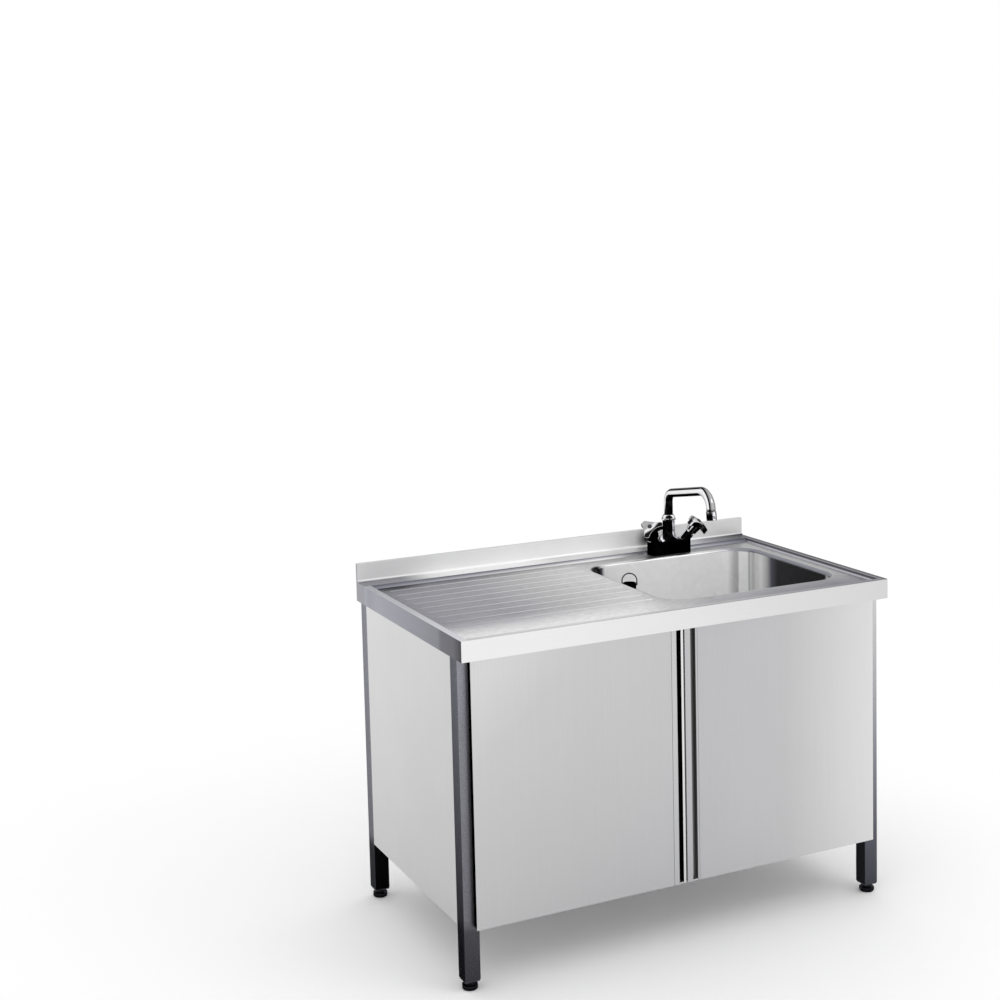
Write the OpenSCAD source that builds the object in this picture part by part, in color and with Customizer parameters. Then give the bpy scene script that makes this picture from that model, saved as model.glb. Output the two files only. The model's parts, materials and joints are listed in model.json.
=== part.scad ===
// Stainless steel sink unit on four square legs: a pressed worktop with a ribbed
// drainer, one deep bowl and a rear upstand, a mixer tap, and a cupboard with two
// hinged doors. Millimetres, +Z up, origin on the floor under the worktop's centre.
// The front faces -Y.

/* [Worktop] */
// Width of the worktop, side to side
top_w = 1200; // [1120:10:1400]
// Depth of the worktop, front to back
top_d = 700; // [680:5:800]
// Height of the rim above the floor
rim_z = 850; // [800:5:950]
// Height of the folded apron
apron_h = 50; // [46:1:70]
// Thickness of the worktop sheet
sheet_t = 1.5; // [1:0.1:2]
// Width of the flange folded in under the front and back apron
return_w = 14; // [8:1:18]
// Radius of the apron's upright corners
corner_r = 3; // [2.2:0.1:5]
// Width of the flat rim round the deck
rim_w = 18; // [12:1:24]
// Width of the slope from the rim down to the deck
slope_w = 6; // [3:0.5:9]
// Depth of the deck below the rim
deck_drop = 9.5; // [6:0.5:12]
// Height of the upstand above the rim
upstand_h = 50; // [40:1:120]
// Thickness of the folded upstand
upstand_t = 12; // [8:1:18]
// Height of the upstand's return at its back
upstand_return = 15; // [8:1:30]
// Radius of the cove at the foot of the upstand
cove_r = 8; // [4:0.5:14]
// Depth of the flat ledge in front of the upstand
ledge_w = 51; // [40:1:60]

/* [Drainer] */
// Number of ribs pressed in the drainer
rib_count = 9; // [5:1:10]
// Spacing of the ribs
rib_pitch = 53; // [30:1:56]
// Height of a rib above the deck
rib_h = 1.5; // [0.8:0.1:2.4]
// Radius of a rib's rounded top
rib_r = 3; // [2.5:0.1:5]
// Distance from the front slope to the first rib
rib_front = 138; // [20:1:150]
// Gap between the left slope and the ribs
rib_left_gap = 27; // [12:1:80]
// Gap between the ribs and the bowl
rib_gap = 16; // [8:1:40]

/* [Bowl] */
// Clear width of the bowl
bowl_w = 517; // [460:1:530]
// Depth of the bowl below the deck
bowl_h = 250; // [200:5:300]
// Thickness of the bowl sheet
bowl_t = 1.2; // [0.8:0.1:1.4]
// Radius of the bowl's upright corners
bowl_corner_r = 70; // [50:1:90]
// Radius between the bowl's walls and floor
bowl_floor_r = 25; // [10:1:40]
// Lap of the bowl's flat floor in its pressed edge
floor_lap = 4; // [2:0.5:8]
// Radius of the rolled edge round the bowl
bowl_edge_r = 9; // [5:0.5:12]
// Gap from the right slope to the rolled edge
bowl_side_gap = 33; // [28:1:60]
// Depth of the flat strip behind the bowl, where the tap stands
tap_strip = 45; // [45:1:60]
// Depth of the flat strip in front of the bowl
front_strip = 86; // [78:1:144]
// Thickness of the sound damping sheet under the bowl
pad_t = 3; // [1.5:0.5:5]
// Inset of the sound damping sheet from the bowl's walls
pad_in = 32; // [30:1:36]
// Gap between the sound damping sheet and the waste's backnut
pad_gap = 4; // [2:0.5:4]

/* [Waste and standpipe] */
// Distance from the bowl's left wall to the waste
drain_side = 85; // [75:1:110]
// Distance from the bowl's back wall to the waste
drain_back = 100; // [75:1:130]
// Radius of the waste flange
flange_r = 37; // [34:0.5:42]
// Thickness of the waste flange
flange_t = 2; // [1:0.1:3]
// Outer radius of the waste's threaded barrel
barrel_r = 27; // [26:0.5:29]
// Radius of the bore in the barrel
barrel_bore_r = 22.2; // [21:0.1:23]
// Length of the barrel below the bowl
barrel_h = 30; // [28:1:45]
// Thickness of the rubber ring under the bowl
drain_ring_t = 4; // [2:0.5:5]
// Height of the waste's backnut
drain_nut_h = 10; // [6:0.5:13]
// Radius of the waste's backnut, to its corners
drain_nut_r = 36; // [34:0.5:42]
// Inset of the rubber ring from the backnut's corners
drain_ring_in = 2; // [1:0.5:4]
// Outer radius of the waste tail
tail_r = 20; // [16:0.5:20.5]
// Wall of the waste tail
tail_t = 2; // [1.5:0.1:3]
// Length of the waste tail below the barrel
tail_len = 70; // [40:5:120]
// Height of the tail's collar round the barrel
tail_collar_h = 11; // [6:0.5:12]
// Outer radius of the standpipe
pipe_r = 18.2; // [16:0.1:18.4]
// Wall of the standpipe
pipe_t = 1.5; // [1:0.1:2]
// Depth of the standpipe's mouth below the rim
pipe_drop = 44; // [40:1:90]
// Clearance round the standpipe's rubber plug
plug_gap = 0.3; // [0.2:0.05:0.5]
// Depth of the rubber plug in the barrel
plug_h = 14; // [8:1:20]
// Radius of the rubber plug's shoulder
plug_shoulder_r = 27; // [25:0.5:30]
// Thickness of the rubber plug's shoulder
plug_shoulder_h = 4; // [3:0.5:8]
// Radius of the bail's wire
bail_wire_r = 1.6; // [0.8:0.1:2]
// Height of the bail above the standpipe's mouth
bail_h = 28; // [24:1:40]
// Distance from the mouth to the bail's pivots
bail_pivot_drop = 6; // [4:0.5:8]
// Clearance beside the bail's legs
bail_gap = 0.3; // [0.2:0.05:0.5]
// Running clearance of the bail in the standpipe's wall
bail_clear = 0.06; // [0.03:0.01:0.1]
// Length of the bail's ends inside the standpipe
bail_end = 1; // [0.5:0.1:3]
// Turn of the standpipe about its axis
bail_turn = -26; // [-60:1:60]

/* [Tap] */
// Distance of the tap to the right of the bowl's centre
tap_side = 29; // [0:1:60]
// Thickness of the rubber gasket under the tap
gasket_t = 1.5; // [1:0.1:3]
// Width of the tap's base
tap_base_w = 124; // [115:1:135]
// Depth of the tap's base
tap_base_d = 43; // [41:0.5:44]
// Height of the tap's base block
tap_base_h = 38; // [34:1:42]
// Radius of the base's upright corners
tap_corner_r = 8; // [4:0.5:16]
// Radius of the tap's column
column_r = 17.5; // [16.5:0.1:19]
// Radius of the fillet round the column's foot
column_fillet = 26; // [10:1:30]
// Depth of the column's foot in the base block
column_sink = 4; // [2:0.5:8]
// Depth of the fillet's foot below the base's top
fillet_sink = 0.5; // [0.3:0.1:1]
// Step from the base's long sides to the column's foot
column_edge = 0.5; // [0.3:0.1:2]
// Height of the column above the gasket
column_h = 96; // [90:1:105]
// Height of the collar nut on the column
collar_h = 15; // [12:0.5:20]
// Height of the straight band at the collar nut's foot
collar_band_h = 5; // [3:0.5:8]
// Radius of the collar nut at its foot
collar_r = 20; // [18.5:0.1:22]
// Radius of the collar nut at its top
collar_top_r = 15; // [14:0.1:17]
// Distance of an arm's root from the tap's axis
arm_side = 46; // [43:0.5:49]
// Distance of an arm's root in front of the tap's axis
arm_front = 9; // [6:0.5:11]
// Height of an arm's root above the gasket
arm_up = 38; // [34:0.5:40]
// Lean of an arm from upright
arm_lean = 39; // [34:1:44]
// Turn of an arm towards the front
arm_turn = 35; // [26:1:40]
// Radius of an arm
arm_r = 14; // [13:0.1:15.5]
// Length of an arm
arm_len = 24; // [20:0.5:30]
// Depth of an arm's root in the base block
arm_sink = 20; // [17:0.5:24]
// Radius of the round bonnet on a valve
bonnet_r = 10.5; // [9:0.1:11.5]
// Length of the bonnet above the arm
bonnet_len = 20; // [16:0.5:26]
// Radius of a valve's spindle
spindle_r = 4; // [3:0.1:5]
// Running clearance of the spindle in the bonnet
spindle_clear = 0.06; // [0.03:0.01:0.1]
// Depth of the spindle in the bonnet
spindle_seat = 14; // [8:0.5:16]
// Depth of the spindle in the handle's head
spindle_grip = 6; // [4:0.5:8]
// Gap between the bonnet's end and the handle's head
head_gap = 8; // [4:0.5:10]
// Radius of a handle's skirt at its foot
skirt_r = 15; // [13.4:0.1:17]
// Radius of a handle's skirt where it meets the head
skirt_top_r = 18; // [15:0.1:18.5]
// Gap between the arm's end and the skirt
skirt_gap = 5; // [2:0.5:8]
// Radial clearance between the bonnet and the skirt
skirt_clear = 0.8; // [0.4:0.1:1.2]
// Thickness of a handle's head
head_h = 15; // [10:0.5:18]
// Radius to the tips of a handle's three lobes
head_r = 36; // [30:0.5:38]
// Radius of the hollows between the lobes
hollow_r = 60; // [40:1:80]
// Radius of the head between the lobes
waist_r = 18.8; // [18.6:0.1:21]
// Turn of the hollows about the valve's axis
hollow_turn = 60; // [0:5:115]
// Radius of the disc on a handle
disc_r = 6; // [4:0.5:14]
// Thickness of the disc on a handle
disc_t = 2.5; // [1:0.1:4]
// Outer radius of the spout's tube
spout_r = 12.5; // [10:0.1:13]
// Wall of the spout's tube
spout_t = 1.5; // [1:0.1:2]
// Swelling of the spout's tube at its bends
spout_swell = 0.1; // [0.06:0.01:0.3]
// Lap of the spout's straight stretches in its bends
spout_lap = 1; // [0.5:0.1:1.2]
// Length of the spout inside the column
spout_seat = 12; // [8:0.5:20]
// Running clearance of the spout in the column
spout_clear = 0.06; // [0.03:0.01:0.1]
// Height of the spout's straight riser above the column
riser_h = 52; // [45:1:80]
// Radius of the spout's first bend
bend_r = 28; // [18:1:35]
// Rise of the spout's arm from level
spout_rise = 10; // [0:1:15]
// Length of the spout's straight arm
spout_run = 153; // [100:1:180]
// Radius of the spout's second bend
drop_r = 45; // [30:1:50]
// Slope of the outlet below level
spout_fall = 84; // [70:1:90]
// Length of the straight end of the spout
spout_end = 8; // [6:1:30]
// Radius of the outlet ring
outlet_r = 14; // [13.5:0.1:15.5]
// Length of the outlet ring
outlet_h = 24; // [8:0.5:30]
// Radius of the tap hole in the deck
tap_hole_r = 17.5; // [17:0.1:18]
// Outer radius of the tap's threaded shank
shank_r = 16.5; // [15.5:0.1:16.8]
// Wall of the shank
shank_t = 2; // [1.5:0.1:2.5]
// Length of the shank below the deck
shank_h = 40; // [30:1:60]
// Radius of the washer under the deck
washer_r = 21; // [19:0.1:21]
// Thickness of the washer under the deck
washer_t = 3; // [1.5:0.1:4]
// Height of the tap's backnut
backnut_h = 10; // [6:0.5:14]
// Radius of a supply tail
supply_r = 5; // [4:0.1:5.5]
// Distance between the two supply tails
supply_pitch = 14; // [12:0.5:15]
// Length of a supply tail below the tap
supply_len = 300; // [150:10:380]

/* [Frame] */
// Width of a square leg
leg_w = 40; // [36:1:50]
// Wall of a leg
leg_t = 2; // [1.5:0.1:3]
// Radius of a leg's outer corners
leg_r = 2; // [0.5:0.1:3]
// Inset of the legs from the worktop's sides
side_in = 5; // [4:0.5:15]
// Inset of the back legs from the worktop's back
back_in = 20; // [16:1:22]
// Height of the bottom of the legs above the floor
leg_z = 25; // [22:0.5:60]
// Thickness of a plug's flange
plug_flange_t = 3.5; // [2:0.1:5]
// Margin of a plug's flange inside the leg's outline
plug_margin = 1.5; // [0:0.1:3]
// Depth of a plug inside the leg
plug_depth = 30; // [20:1:45]
// Radius of a foot's spindle
foot_spindle_r = 6; // [5:0.1:8]
// Running clearance of the spindle in the plug
foot_clear = 0.06; // [0.03:0.01:0.1]
// Length of a foot's spindle above its pad
foot_spindle_h = 62; // [56:1:90]
// Radius of a foot's pad
foot_r = 20; // [16:0.5:24]
// Thickness of a foot's pad
foot_h = 11; // [8:0.5:12]
// Thickness of the bevel under a foot's pad
foot_bevel = 3; // [1:0.5:5]
// Height of the hexagon on a foot
foot_hex_h = 5; // [3:0.5:6]
// Radius of the hexagon on a foot
foot_hex_r = 12; // [9:0.5:14]
// Height of the top rails
rail_h = 45; // [44:1:60]
// Wall of the rails
rail_t = 1.5; // [1:0.1:2]
// Height of the lower rails
low_rail_h = 25; // [20:1:40]
// Width of a stiffener under the drainer
stiffener_w = 60; // [40:1:80]
// Height of a stiffener
stiffener_h = 25; // [15:1:40]
// Number of stiffeners under the drainer
stiffener_count = 2; // [1:1:3]

/* [Panels and shelf] */
// Height of the cupboard's underside above the floor
case_z = 152; // [120:1:200]
// Depth of the folded panels
panel_t = 18; // [14:1:22]
// Thickness of the panel sheet
panel_sheet = 1.2; // [0.8:0.1:1.5]
// Thickness of the shelf sheet
shelf_t = 1.2; // [1:0.1:2]
// Width of the service opening in the back panel
service_w = 360; // [200:10:400]
// Height of the service opening in the back panel
service_h = 160; // [100:5:200]
// Height of the service opening above the lower rail
service_up = 250; // [100:5:300]
// Number of rivets along the back panel's top and bottom edges
rivet_count = 5; // [3:1:8]
// Radius of a rivet's head at its foot
rivet_r = 4; // [3:0.1:5]
// Radius of a rivet's head at its top
rivet_top_r = 2.5; // [1.5:0.1:2.8]
// Height of a rivet's head
rivet_h = 1.5; // [1:0.1:3]

/* [Doors] */
// Inset of the doors' face from the worktop's front
door_in = 24; // [20:1:30]
// Thickness of a door
door_t = 14; // [13:0.5:16]
// Gap between a door and the leg behind it
door_gap = 3; // [2.6:0.1:5]
// Thickness of the door sheet
skin_t = 1; // [0.8:0.1:1.2]
// Inset of a door's outer edge from the worktop's side
door_side_in = 31; // [25:0.5:32]
// Gap between a door and the apron
door_top_gap = 4; // [3:0.5:8]
// Gap between the two doors
door_split = 4.5; // [3:0.1:6]
// Width of the left door's lip beside its grip
left_lip = 6.5; // [4:0.1:12]
// Width of the left door's grip recess
left_recess = 12.5; // [10:0.1:16]
// Width of the left door's strip beyond its grip
left_strip = 14; // [6:0.1:20]
// Width of the right door's strip beside its grip
right_lip = 15.5; // [6:0.1:20]
// Width of the right door's grip recess
right_recess = 14.5; // [10:0.1:16]
// Width of the right door's fold beyond its grip
right_strip = 5.5; // [4:0.1:12]
// Width of the seam between a grip and its door skin
seam = 0.5; // [0.3:0.1:0.9]
// Height of the grips' end caps
cap_h = 8; // [6:0.5:14]
// Fall of the end caps' slanted faces
cap_fall = 4; // [2:0.5:5]
// Distance of a hinge pin from the door's outer edge
pin_in = 6; // [5.6:0.1:6.3]
// Radius of a hinge pin
pin_r = 2.5; // [2:0.1:2.6]
// Running clearance of a hinge pin
pin_clear = 0.06; // [0.03:0.01:0.1]
// Width of a hinge tongue
tongue_w = 8; // [7:0.1:8.4]
// Thickness of a hinge tongue
tongue_t = 3; // [2:0.1:3.5]
// Distance from the door's end to the tongue
tongue_in = 1.5; // [1:0.1:2]
// Height of the notch round a tongue
notch_h = 6.5; // [6.2:0.1:8]
// Width of the notch round a tongue
notch_w = 16; // [14:0.5:20]
// Radius of the shoulder on a hinge pin
shoulder_r = 4; // [3.4:0.1:4.2]
// Clearance between the shoulder and the tongue
shoulder_gap = 0.1; // [0.05:0.01:0.2]
// Height of the block that holds a hinge pin
pin_block_h = 20; // [14:1:30]
// Width of a magnetic catch
catch_w = 40; // [30:1:50]
// Height of a magnetic catch
catch_h = 18; // [14:1:22]
// Height of a catch's strike plate
strike_h = 14; // [10:1:16]
// Depth of a magnetic catch
catch_d = 20; // [14:1:21]
// Distance of a catch from the cupboard's centre
catch_side = 75; // [65:1:120]
// Thickness of a catch's strike plate
strike_t = 1; // [0.5:0.1:1.5]
// Gap between a catch and its strike plate
catch_gap = 0.3; // [0.2:0.05:0.5]

/* [Hidden] */
$fn = 48;
eps = 0.01;
// Turn of an arm's cylinder about itself, so that its seam line meets no edge
arm_seam = 180;

// Colours
steel = [0.78, 0.78, 0.80];
satin = [0.70, 0.70, 0.72];
shade = [0.33, 0.33, 0.37];
chrome = [0.85, 0.86, 0.88];
black = [0.08, 0.08, 0.09];
brass = [0.80, 0.66, 0.35];

// Worktop
apron_z = rim_z - apron_h;
deck_z = rim_z - deck_drop;
deck_under = deck_z - sheet_t;
half_w = top_w / 2;
half_d = top_d / 2;
rim_x = half_w - rim_w;
deck_x = rim_x - slope_w;
rim_y = -half_d + rim_w;
deck_y = rim_y + slope_w;
upstand_y = half_d - upstand_t;
ledge_y = upstand_y - ledge_w;
deck_back_y = ledge_y - slope_w;

// Bowl
bowl_right = deck_x - bowl_side_gap - bowl_edge_r;
bowl_left = bowl_right - bowl_w;
bowl_back = deck_back_y - tap_strip - bowl_edge_r;
bowl_front = deck_y + front_strip + bowl_edge_r;
bowl_d = bowl_back - bowl_front;
bowl_x = bowl_right - bowl_w / 2;
bowl_y = bowl_back - bowl_d / 2;
bowl_z = deck_z - bowl_h;

// Waste and standpipe
drain_x = bowl_left + drain_side;
drain_y = bowl_back - drain_back;
bowl_under = bowl_z - bowl_t;
barrel_z = bowl_under - barrel_h;
tail_z = barrel_z - tail_len;
flange_top = bowl_z + flange_t;
plug_z = flange_top + plug_gap;
mouth_z = rim_z - pipe_drop;
pivot_z = mouth_z - bail_pivot_drop;
bail_r = pipe_r + bail_gap + bail_wire_r;

// Tap
tap_x = bowl_x + tap_side;
tap_y = deck_back_y - tap_strip / 2;
tap_z = deck_z + gasket_t;
column_z = tap_z + column_h;
spout_z = column_z - spout_seat;
shank_z = deck_under - shank_h;
handle_t = arm_len + skirt_gap;
bonnet_z = arm_len + bonnet_len;
head_t = bonnet_z + head_gap;
disc_z = head_t + head_h;

// Frame
leg_x = half_w - side_in;
leg_front_y = -half_d + door_in + door_t + door_gap;
leg_back_y = half_d - back_in;
front_y = leg_front_y + leg_w / 2;
back_y = leg_back_y - leg_w / 2;
rail_d = leg_w - panel_t;
rail_z = deck_under - rail_h;
shelf_z = case_z + low_rail_h;
inner_x = leg_x - leg_w;
panel_x = leg_x - panel_t;
service_x = bowl_x;
service_z = shelf_z + service_up;

// Doors
door_face = -half_d + door_in;
door_back = door_face + door_t;
door_x = half_w - door_side_in;
door_top = apron_z - door_top_gap;
door_h = door_top - case_z;
pin_x = door_x - pin_in;
pin_y = door_face + door_t / 2;
left_grip_w = left_lip + left_recess + left_strip;
right_grip_w = right_lip + right_recess + right_strip;

// General shapes
module block(low, high) {
    translate(low)
        cube(high - low);
}

module rounded_rect(w, d, r) {
    square([w - 2 * r, d], center = true);
    square([w, d - 2 * r], center = true);
    for (sx = [-1, 1], sy = [-1, 1])
        translate([sx * (w / 2 - r), sy * (d / 2 - r)])
            circle(r);
}

// Sweeps a profile round a rounded rectangle: its x points outwards, its y up
module round_sweep(w, d, r) {
    for (sx = [0, 1], sy = [0, 1])
        mirror([sx, 0, 0])
            mirror([0, sy, 0])
                translate([w / 2 - r, d / 2 - r, 0]) {
                    rotate_extrude(angle = 90)
                        translate([r, 0])
                            children();
                    translate([r - w / 2, 0, 0])
                        rotate([90, 0, 90])
                            linear_extrude(w / 2 - r)
                                translate([r, 0])
                                    children();
                    rotate([90, 0, 0])
                        linear_extrude(d / 2 - r)
                            translate([r, 0])
                                children();
                }
}

// A rectangular tube along X
module tube_x(low, high, wall) {
    difference() {
        block(low, high);
        block(low + [-1, wall, wall], high + [1, -wall, -wall]);
    }
}

// A rectangular tube along Y
module tube_y(low, high, wall) {
    difference() {
        block(low, high);
        block(low + [wall, -1, wall], high + [-wall, 1, -wall]);
    }
}

// The deck's pressed hollow, or with grow its underside
module deck_hollow(grow) {
    intersection() {
        translate([0, half_d, 0])
            rotate([90, 0, 0])
                linear_extrude(top_d)
                    polygon([
                        [-rim_x - grow, rim_z + 1], [-rim_x - grow, rim_z - grow],
                        [-deck_x - grow, deck_z - grow], [deck_x + grow, deck_z - grow],
                        [rim_x + grow, rim_z - grow], [rim_x + grow, rim_z + 1]
                    ]);
        translate([-half_w, 0, 0])
            rotate([90, 0, 90])
                linear_extrude(top_w)
                    polygon([
                        [rim_y - grow, rim_z + 1], [rim_y - grow, rim_z - grow],
                        [deck_y - grow, deck_z - grow], [deck_back_y + grow, deck_z - grow],
                        [ledge_y + grow, rim_z - grow], [ledge_y + grow, rim_z + 1]
                    ]);
    }
}

module drainer_ribs() {
    rib_left = rib_left_gap - deck_x;
    rib_right = bowl_left - bowl_edge_r - rib_gap;
    intersection() {
        for (i = [0 : rib_count - 1])
            translate([rib_left, deck_y + rib_front + i * rib_pitch, deck_z + rib_h - rib_r])
                rotate([0, 90, 0])
                    cylinder(r = rib_r, h = rib_right - rib_left);
        block([-deck_x, deck_y, deck_z - sheet_t / 2], [deck_x, deck_back_y, rim_z]);
    }
}

module cove_section() {
    difference() {
        translate([-cove_r, -sheet_t])
            square([cove_r + sheet_t, cove_r + sheet_t]);
        translate([-cove_r, cove_r])
            circle(cove_r);
    }
}

module worktop_outside() {
    intersection() {
        translate([0, 0, apron_z])
            linear_extrude(apron_h + upstand_h)
                rounded_rect(top_w, top_d, corner_r);
        union() {
            difference() {
                block([-half_w, -half_d, apron_z], [half_w, half_d, rim_z]);
                deck_hollow(0);
            }
            block([-half_w, upstand_y, rim_z - sheet_t], [half_w, half_d, rim_z + upstand_h]);
            translate([-half_w, upstand_y, rim_z])
                rotate([90, 0, 90])
                    linear_extrude(top_w)
                        cove_section();
        }
    }
}

module worktop_inside() {
    difference() {
        translate([0, 0, apron_z + sheet_t])
            linear_extrude(apron_h - 2 * sheet_t)
                rounded_rect(top_w - 2 * sheet_t, top_d - 2 * sheet_t, corner_r - sheet_t);
        deck_hollow(sheet_t);
    }
    block([sheet_t - half_w, return_w - half_d, apron_z - 1],
          [half_w - sheet_t, half_d - return_w, apron_z + 2 * sheet_t]);
    block([sheet_t - half_w, upstand_y + sheet_t, rim_z],
          [half_w - sheet_t, half_d - sheet_t, rim_z + upstand_h - sheet_t]);
    block([sheet_t - half_w, upstand_y + sheet_t, rim_z],
          [half_w - sheet_t, half_d + 1, rim_z + upstand_h - upstand_return]);
}

module worktop() {
    color(steel)
        difference() {
            union() {
                difference() {
                    worktop_outside();
                    worktop_inside();
                }
                drainer_ribs();
            }
            translate([bowl_x, bowl_y, apron_z])
                linear_extrude(apron_h)
                    rounded_rect(bowl_w + 2 * bowl_edge_r, bowl_d + 2 * bowl_edge_r,
                                 bowl_corner_r + bowl_edge_r);
            translate([tap_x, tap_y, deck_under - 1])
                cylinder(r = tap_hole_r, h = sheet_t + 2);
        }
}

// Channels that stiffen the drainer, open towards the deck
module worktop_stiffeners() {
    span = bowl_left - bowl_edge_r + inner_x;
    color(satin)
        for (i = [1 : stiffener_count])
            translate([-inner_x + i * span / (stiffener_count + 1), 0, 0])
                difference() {
                    block([-stiffener_w / 2, leg_front_y + rail_d, deck_under - stiffener_h],
                          [stiffener_w / 2, leg_back_y - leg_w, deck_under]);
                    block([-stiffener_w / 2 + rail_t, leg_front_y, deck_under - stiffener_h + rail_t],
                          [stiffener_w / 2 - rail_t, leg_back_y, deck_under + 1]);
                }
}

// Section of the bowl's wall, from its rolled edge down to its floor
module bowl_section() {
    intersection() {
        translate([bowl_edge_r, -bowl_edge_r])
            difference() {
                circle(bowl_edge_r);
                circle(bowl_edge_r - bowl_t);
            }
        translate([0, -bowl_edge_r])
            square(bowl_edge_r);
    }
    translate([0, bowl_floor_r - bowl_h])
        square([bowl_t, bowl_h - bowl_floor_r - bowl_edge_r]);
    intersection() {
        translate([-bowl_floor_r, bowl_floor_r - bowl_h])
            difference() {
                circle(bowl_floor_r + bowl_t);
                circle(bowl_floor_r);
            }
        translate([-bowl_floor_r, -bowl_h - bowl_t])
            square(bowl_floor_r + bowl_t);
    }
    translate([-bowl_floor_r - floor_lap, -bowl_h - bowl_t])
        square([floor_lap, bowl_t]);
}

module bowl() {
    color(steel)
        difference() {
            union() {
                translate([bowl_x, bowl_y, deck_z])
                    round_sweep(bowl_w, bowl_d, bowl_corner_r)
                        bowl_section();
                translate([bowl_x, bowl_y, bowl_under])
                    linear_extrude(bowl_t)
                        rounded_rect(bowl_w - 2 * bowl_floor_r, bowl_d - 2 * bowl_floor_r,
                                     bowl_corner_r - bowl_floor_r);
            }
            translate([drain_x, drain_y, bowl_under - 1])
                cylinder(r = barrel_r, h = bowl_t + 2);
        }
}

module bowl_damping_sheet() {
    color(black)
        difference() {
            translate([bowl_x, bowl_y, bowl_under - pad_t])
                linear_extrude(pad_t)
                    rounded_rect(bowl_w - 2 * pad_in, bowl_d - 2 * pad_in, bowl_corner_r - pad_in);
            translate([drain_x, drain_y, bowl_under - pad_t - 1])
                cylinder(r = drain_nut_r + pad_gap, h = pad_t + 2);
        }
}

module drain_flange() {
    color(satin)
        translate([drain_x, drain_y, 0])
            difference() {
                union() {
                    translate([0, 0, bowl_z])
                        cylinder(r = flange_r, h = flange_t);
                    translate([0, 0, barrel_z])
                        cylinder(r = barrel_r, h = bowl_z - barrel_z + eps);
                }
                translate([0, 0, barrel_z - 1])
                    cylinder(r = barrel_bore_r, h = flange_top - barrel_z + 2);
            }
}

module drain_ring() {
    color(black)
        translate([drain_x, drain_y, bowl_under - drain_ring_t])
            difference() {
                cylinder(r = drain_nut_r - drain_ring_in, h = drain_ring_t);
                translate([0, 0, -1])
                    cylinder(r = barrel_r, h = drain_ring_t + 2);
            }
}

module drain_backnut() {
    color(brass)
        translate([drain_x, drain_y, bowl_under - drain_ring_t - drain_nut_h])
            difference() {
                cylinder(r = drain_nut_r, h = drain_nut_h, $fn = 8);
                translate([0, 0, -1])
                    cylinder(r = barrel_r, h = drain_nut_h + 2);
            }
}

module drain_tail() {
    color(chrome)
        translate([drain_x, drain_y, 0])
            difference() {
                union() {
                    translate([0, 0, barrel_z - tail_t])
                        cylinder(r = barrel_r + tail_t, h = tail_collar_h + tail_t);
                    translate([0, 0, tail_z])
                        cylinder(r = tail_r, h = tail_len);
                }
                translate([0, 0, tail_z - 1])
                    cylinder(r = tail_r - tail_t, h = tail_len + 2);
                translate([0, 0, barrel_z])
                    cylinder(r = barrel_r, h = tail_collar_h + 1);
            }
}

module standpipe() {
    color(chrome)
        translate([drain_x, drain_y, 0])
            rotate([0, 0, bail_turn])
                difference() {
                    translate([0, 0, plug_z])
                        cylinder(r = pipe_r, h = mouth_z - plug_z);
                    translate([0, 0, plug_z - 1])
                        cylinder(r = pipe_r - pipe_t, h = mouth_z - plug_z + 2);
                    translate([-pipe_r - 1, 0, pivot_z])
                        rotate([0, 90, 0])
                            cylinder(r = bail_wire_r + bail_clear, h = 2 * pipe_r + 2);
                }
}

module standpipe_plug() {
    color(black)
        translate([drain_x, drain_y, 0])
            difference() {
                union() {
                    translate([0, 0, plug_z])
                        cylinder(r = plug_shoulder_r, h = plug_shoulder_h);
                    translate([0, 0, plug_z - plug_h])
                        cylinder(r = barrel_bore_r - plug_gap, h = plug_h + eps);
                }
                translate([0, 0, plug_z - plug_h - 1])
                    cylinder(r = pipe_r - pipe_t, h = plug_h + plug_shoulder_h + 2);
                translate([0, 0, plug_z])
                    cylinder(r = pipe_r, h = plug_shoulder_h + 1);
            }
}

module standpipe_bail() {
    straight = bail_h + bail_pivot_drop - bail_r - bail_wire_r;
    color(chrome)
        translate([drain_x, drain_y, pivot_z])
            rotate([0, 0, bail_turn]) {
                for (side = [-1, 1]) {
                    translate([side * bail_r, 0, 0])
                        cylinder(r = bail_wire_r, h = straight);
                    translate([side * bail_r, 0, 0])
                        sphere(bail_wire_r);
                    translate([side * bail_r, 0, 0])
                        rotate([0, -side * 90, 0])
                            cylinder(r = bail_wire_r, h = bail_r - pipe_r + pipe_t + bail_end);
                }
                translate([0, 0, straight])
                    rotate([90, 0, 0])
                        rotate_extrude(angle = 180)
                            translate([bail_r, 0])
                                circle(bail_wire_r);
            }
}

// Tap
module at_tap() {
    translate([tap_x, tap_y, tap_z])
        children();
}

// Places a valve's own frame, +Z along its arm; side is 0 for the right, 1 for the left
module on_arm(side) {
    at_tap()
        mirror([side, 0, 0])
            translate([arm_side, -arm_front, arm_up])
                rotate([0, arm_lean, -arm_turn])
                    children();
}

module tap_gasket() {
    color(black)
        translate([tap_x, tap_y, deck_z])
            difference() {
                linear_extrude(gasket_t)
                    rounded_rect(tap_base_w, tap_base_d, tap_corner_r);
                translate([0, 0, -1])
                    cylinder(r = tap_hole_r, h = gasket_t + 2);
            }
}

module column_section() {
    difference() {
        translate([0, tap_base_h - column_sink])
            square([column_r + column_fillet, column_h - tap_base_h + column_sink]);
        translate([column_r, tap_base_h - fillet_sink + column_fillet])
            square([column_fillet + 1, column_h]);
        translate([column_r + column_fillet, tap_base_h - fillet_sink + column_fillet])
            circle(column_fillet);
    }
}

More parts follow.
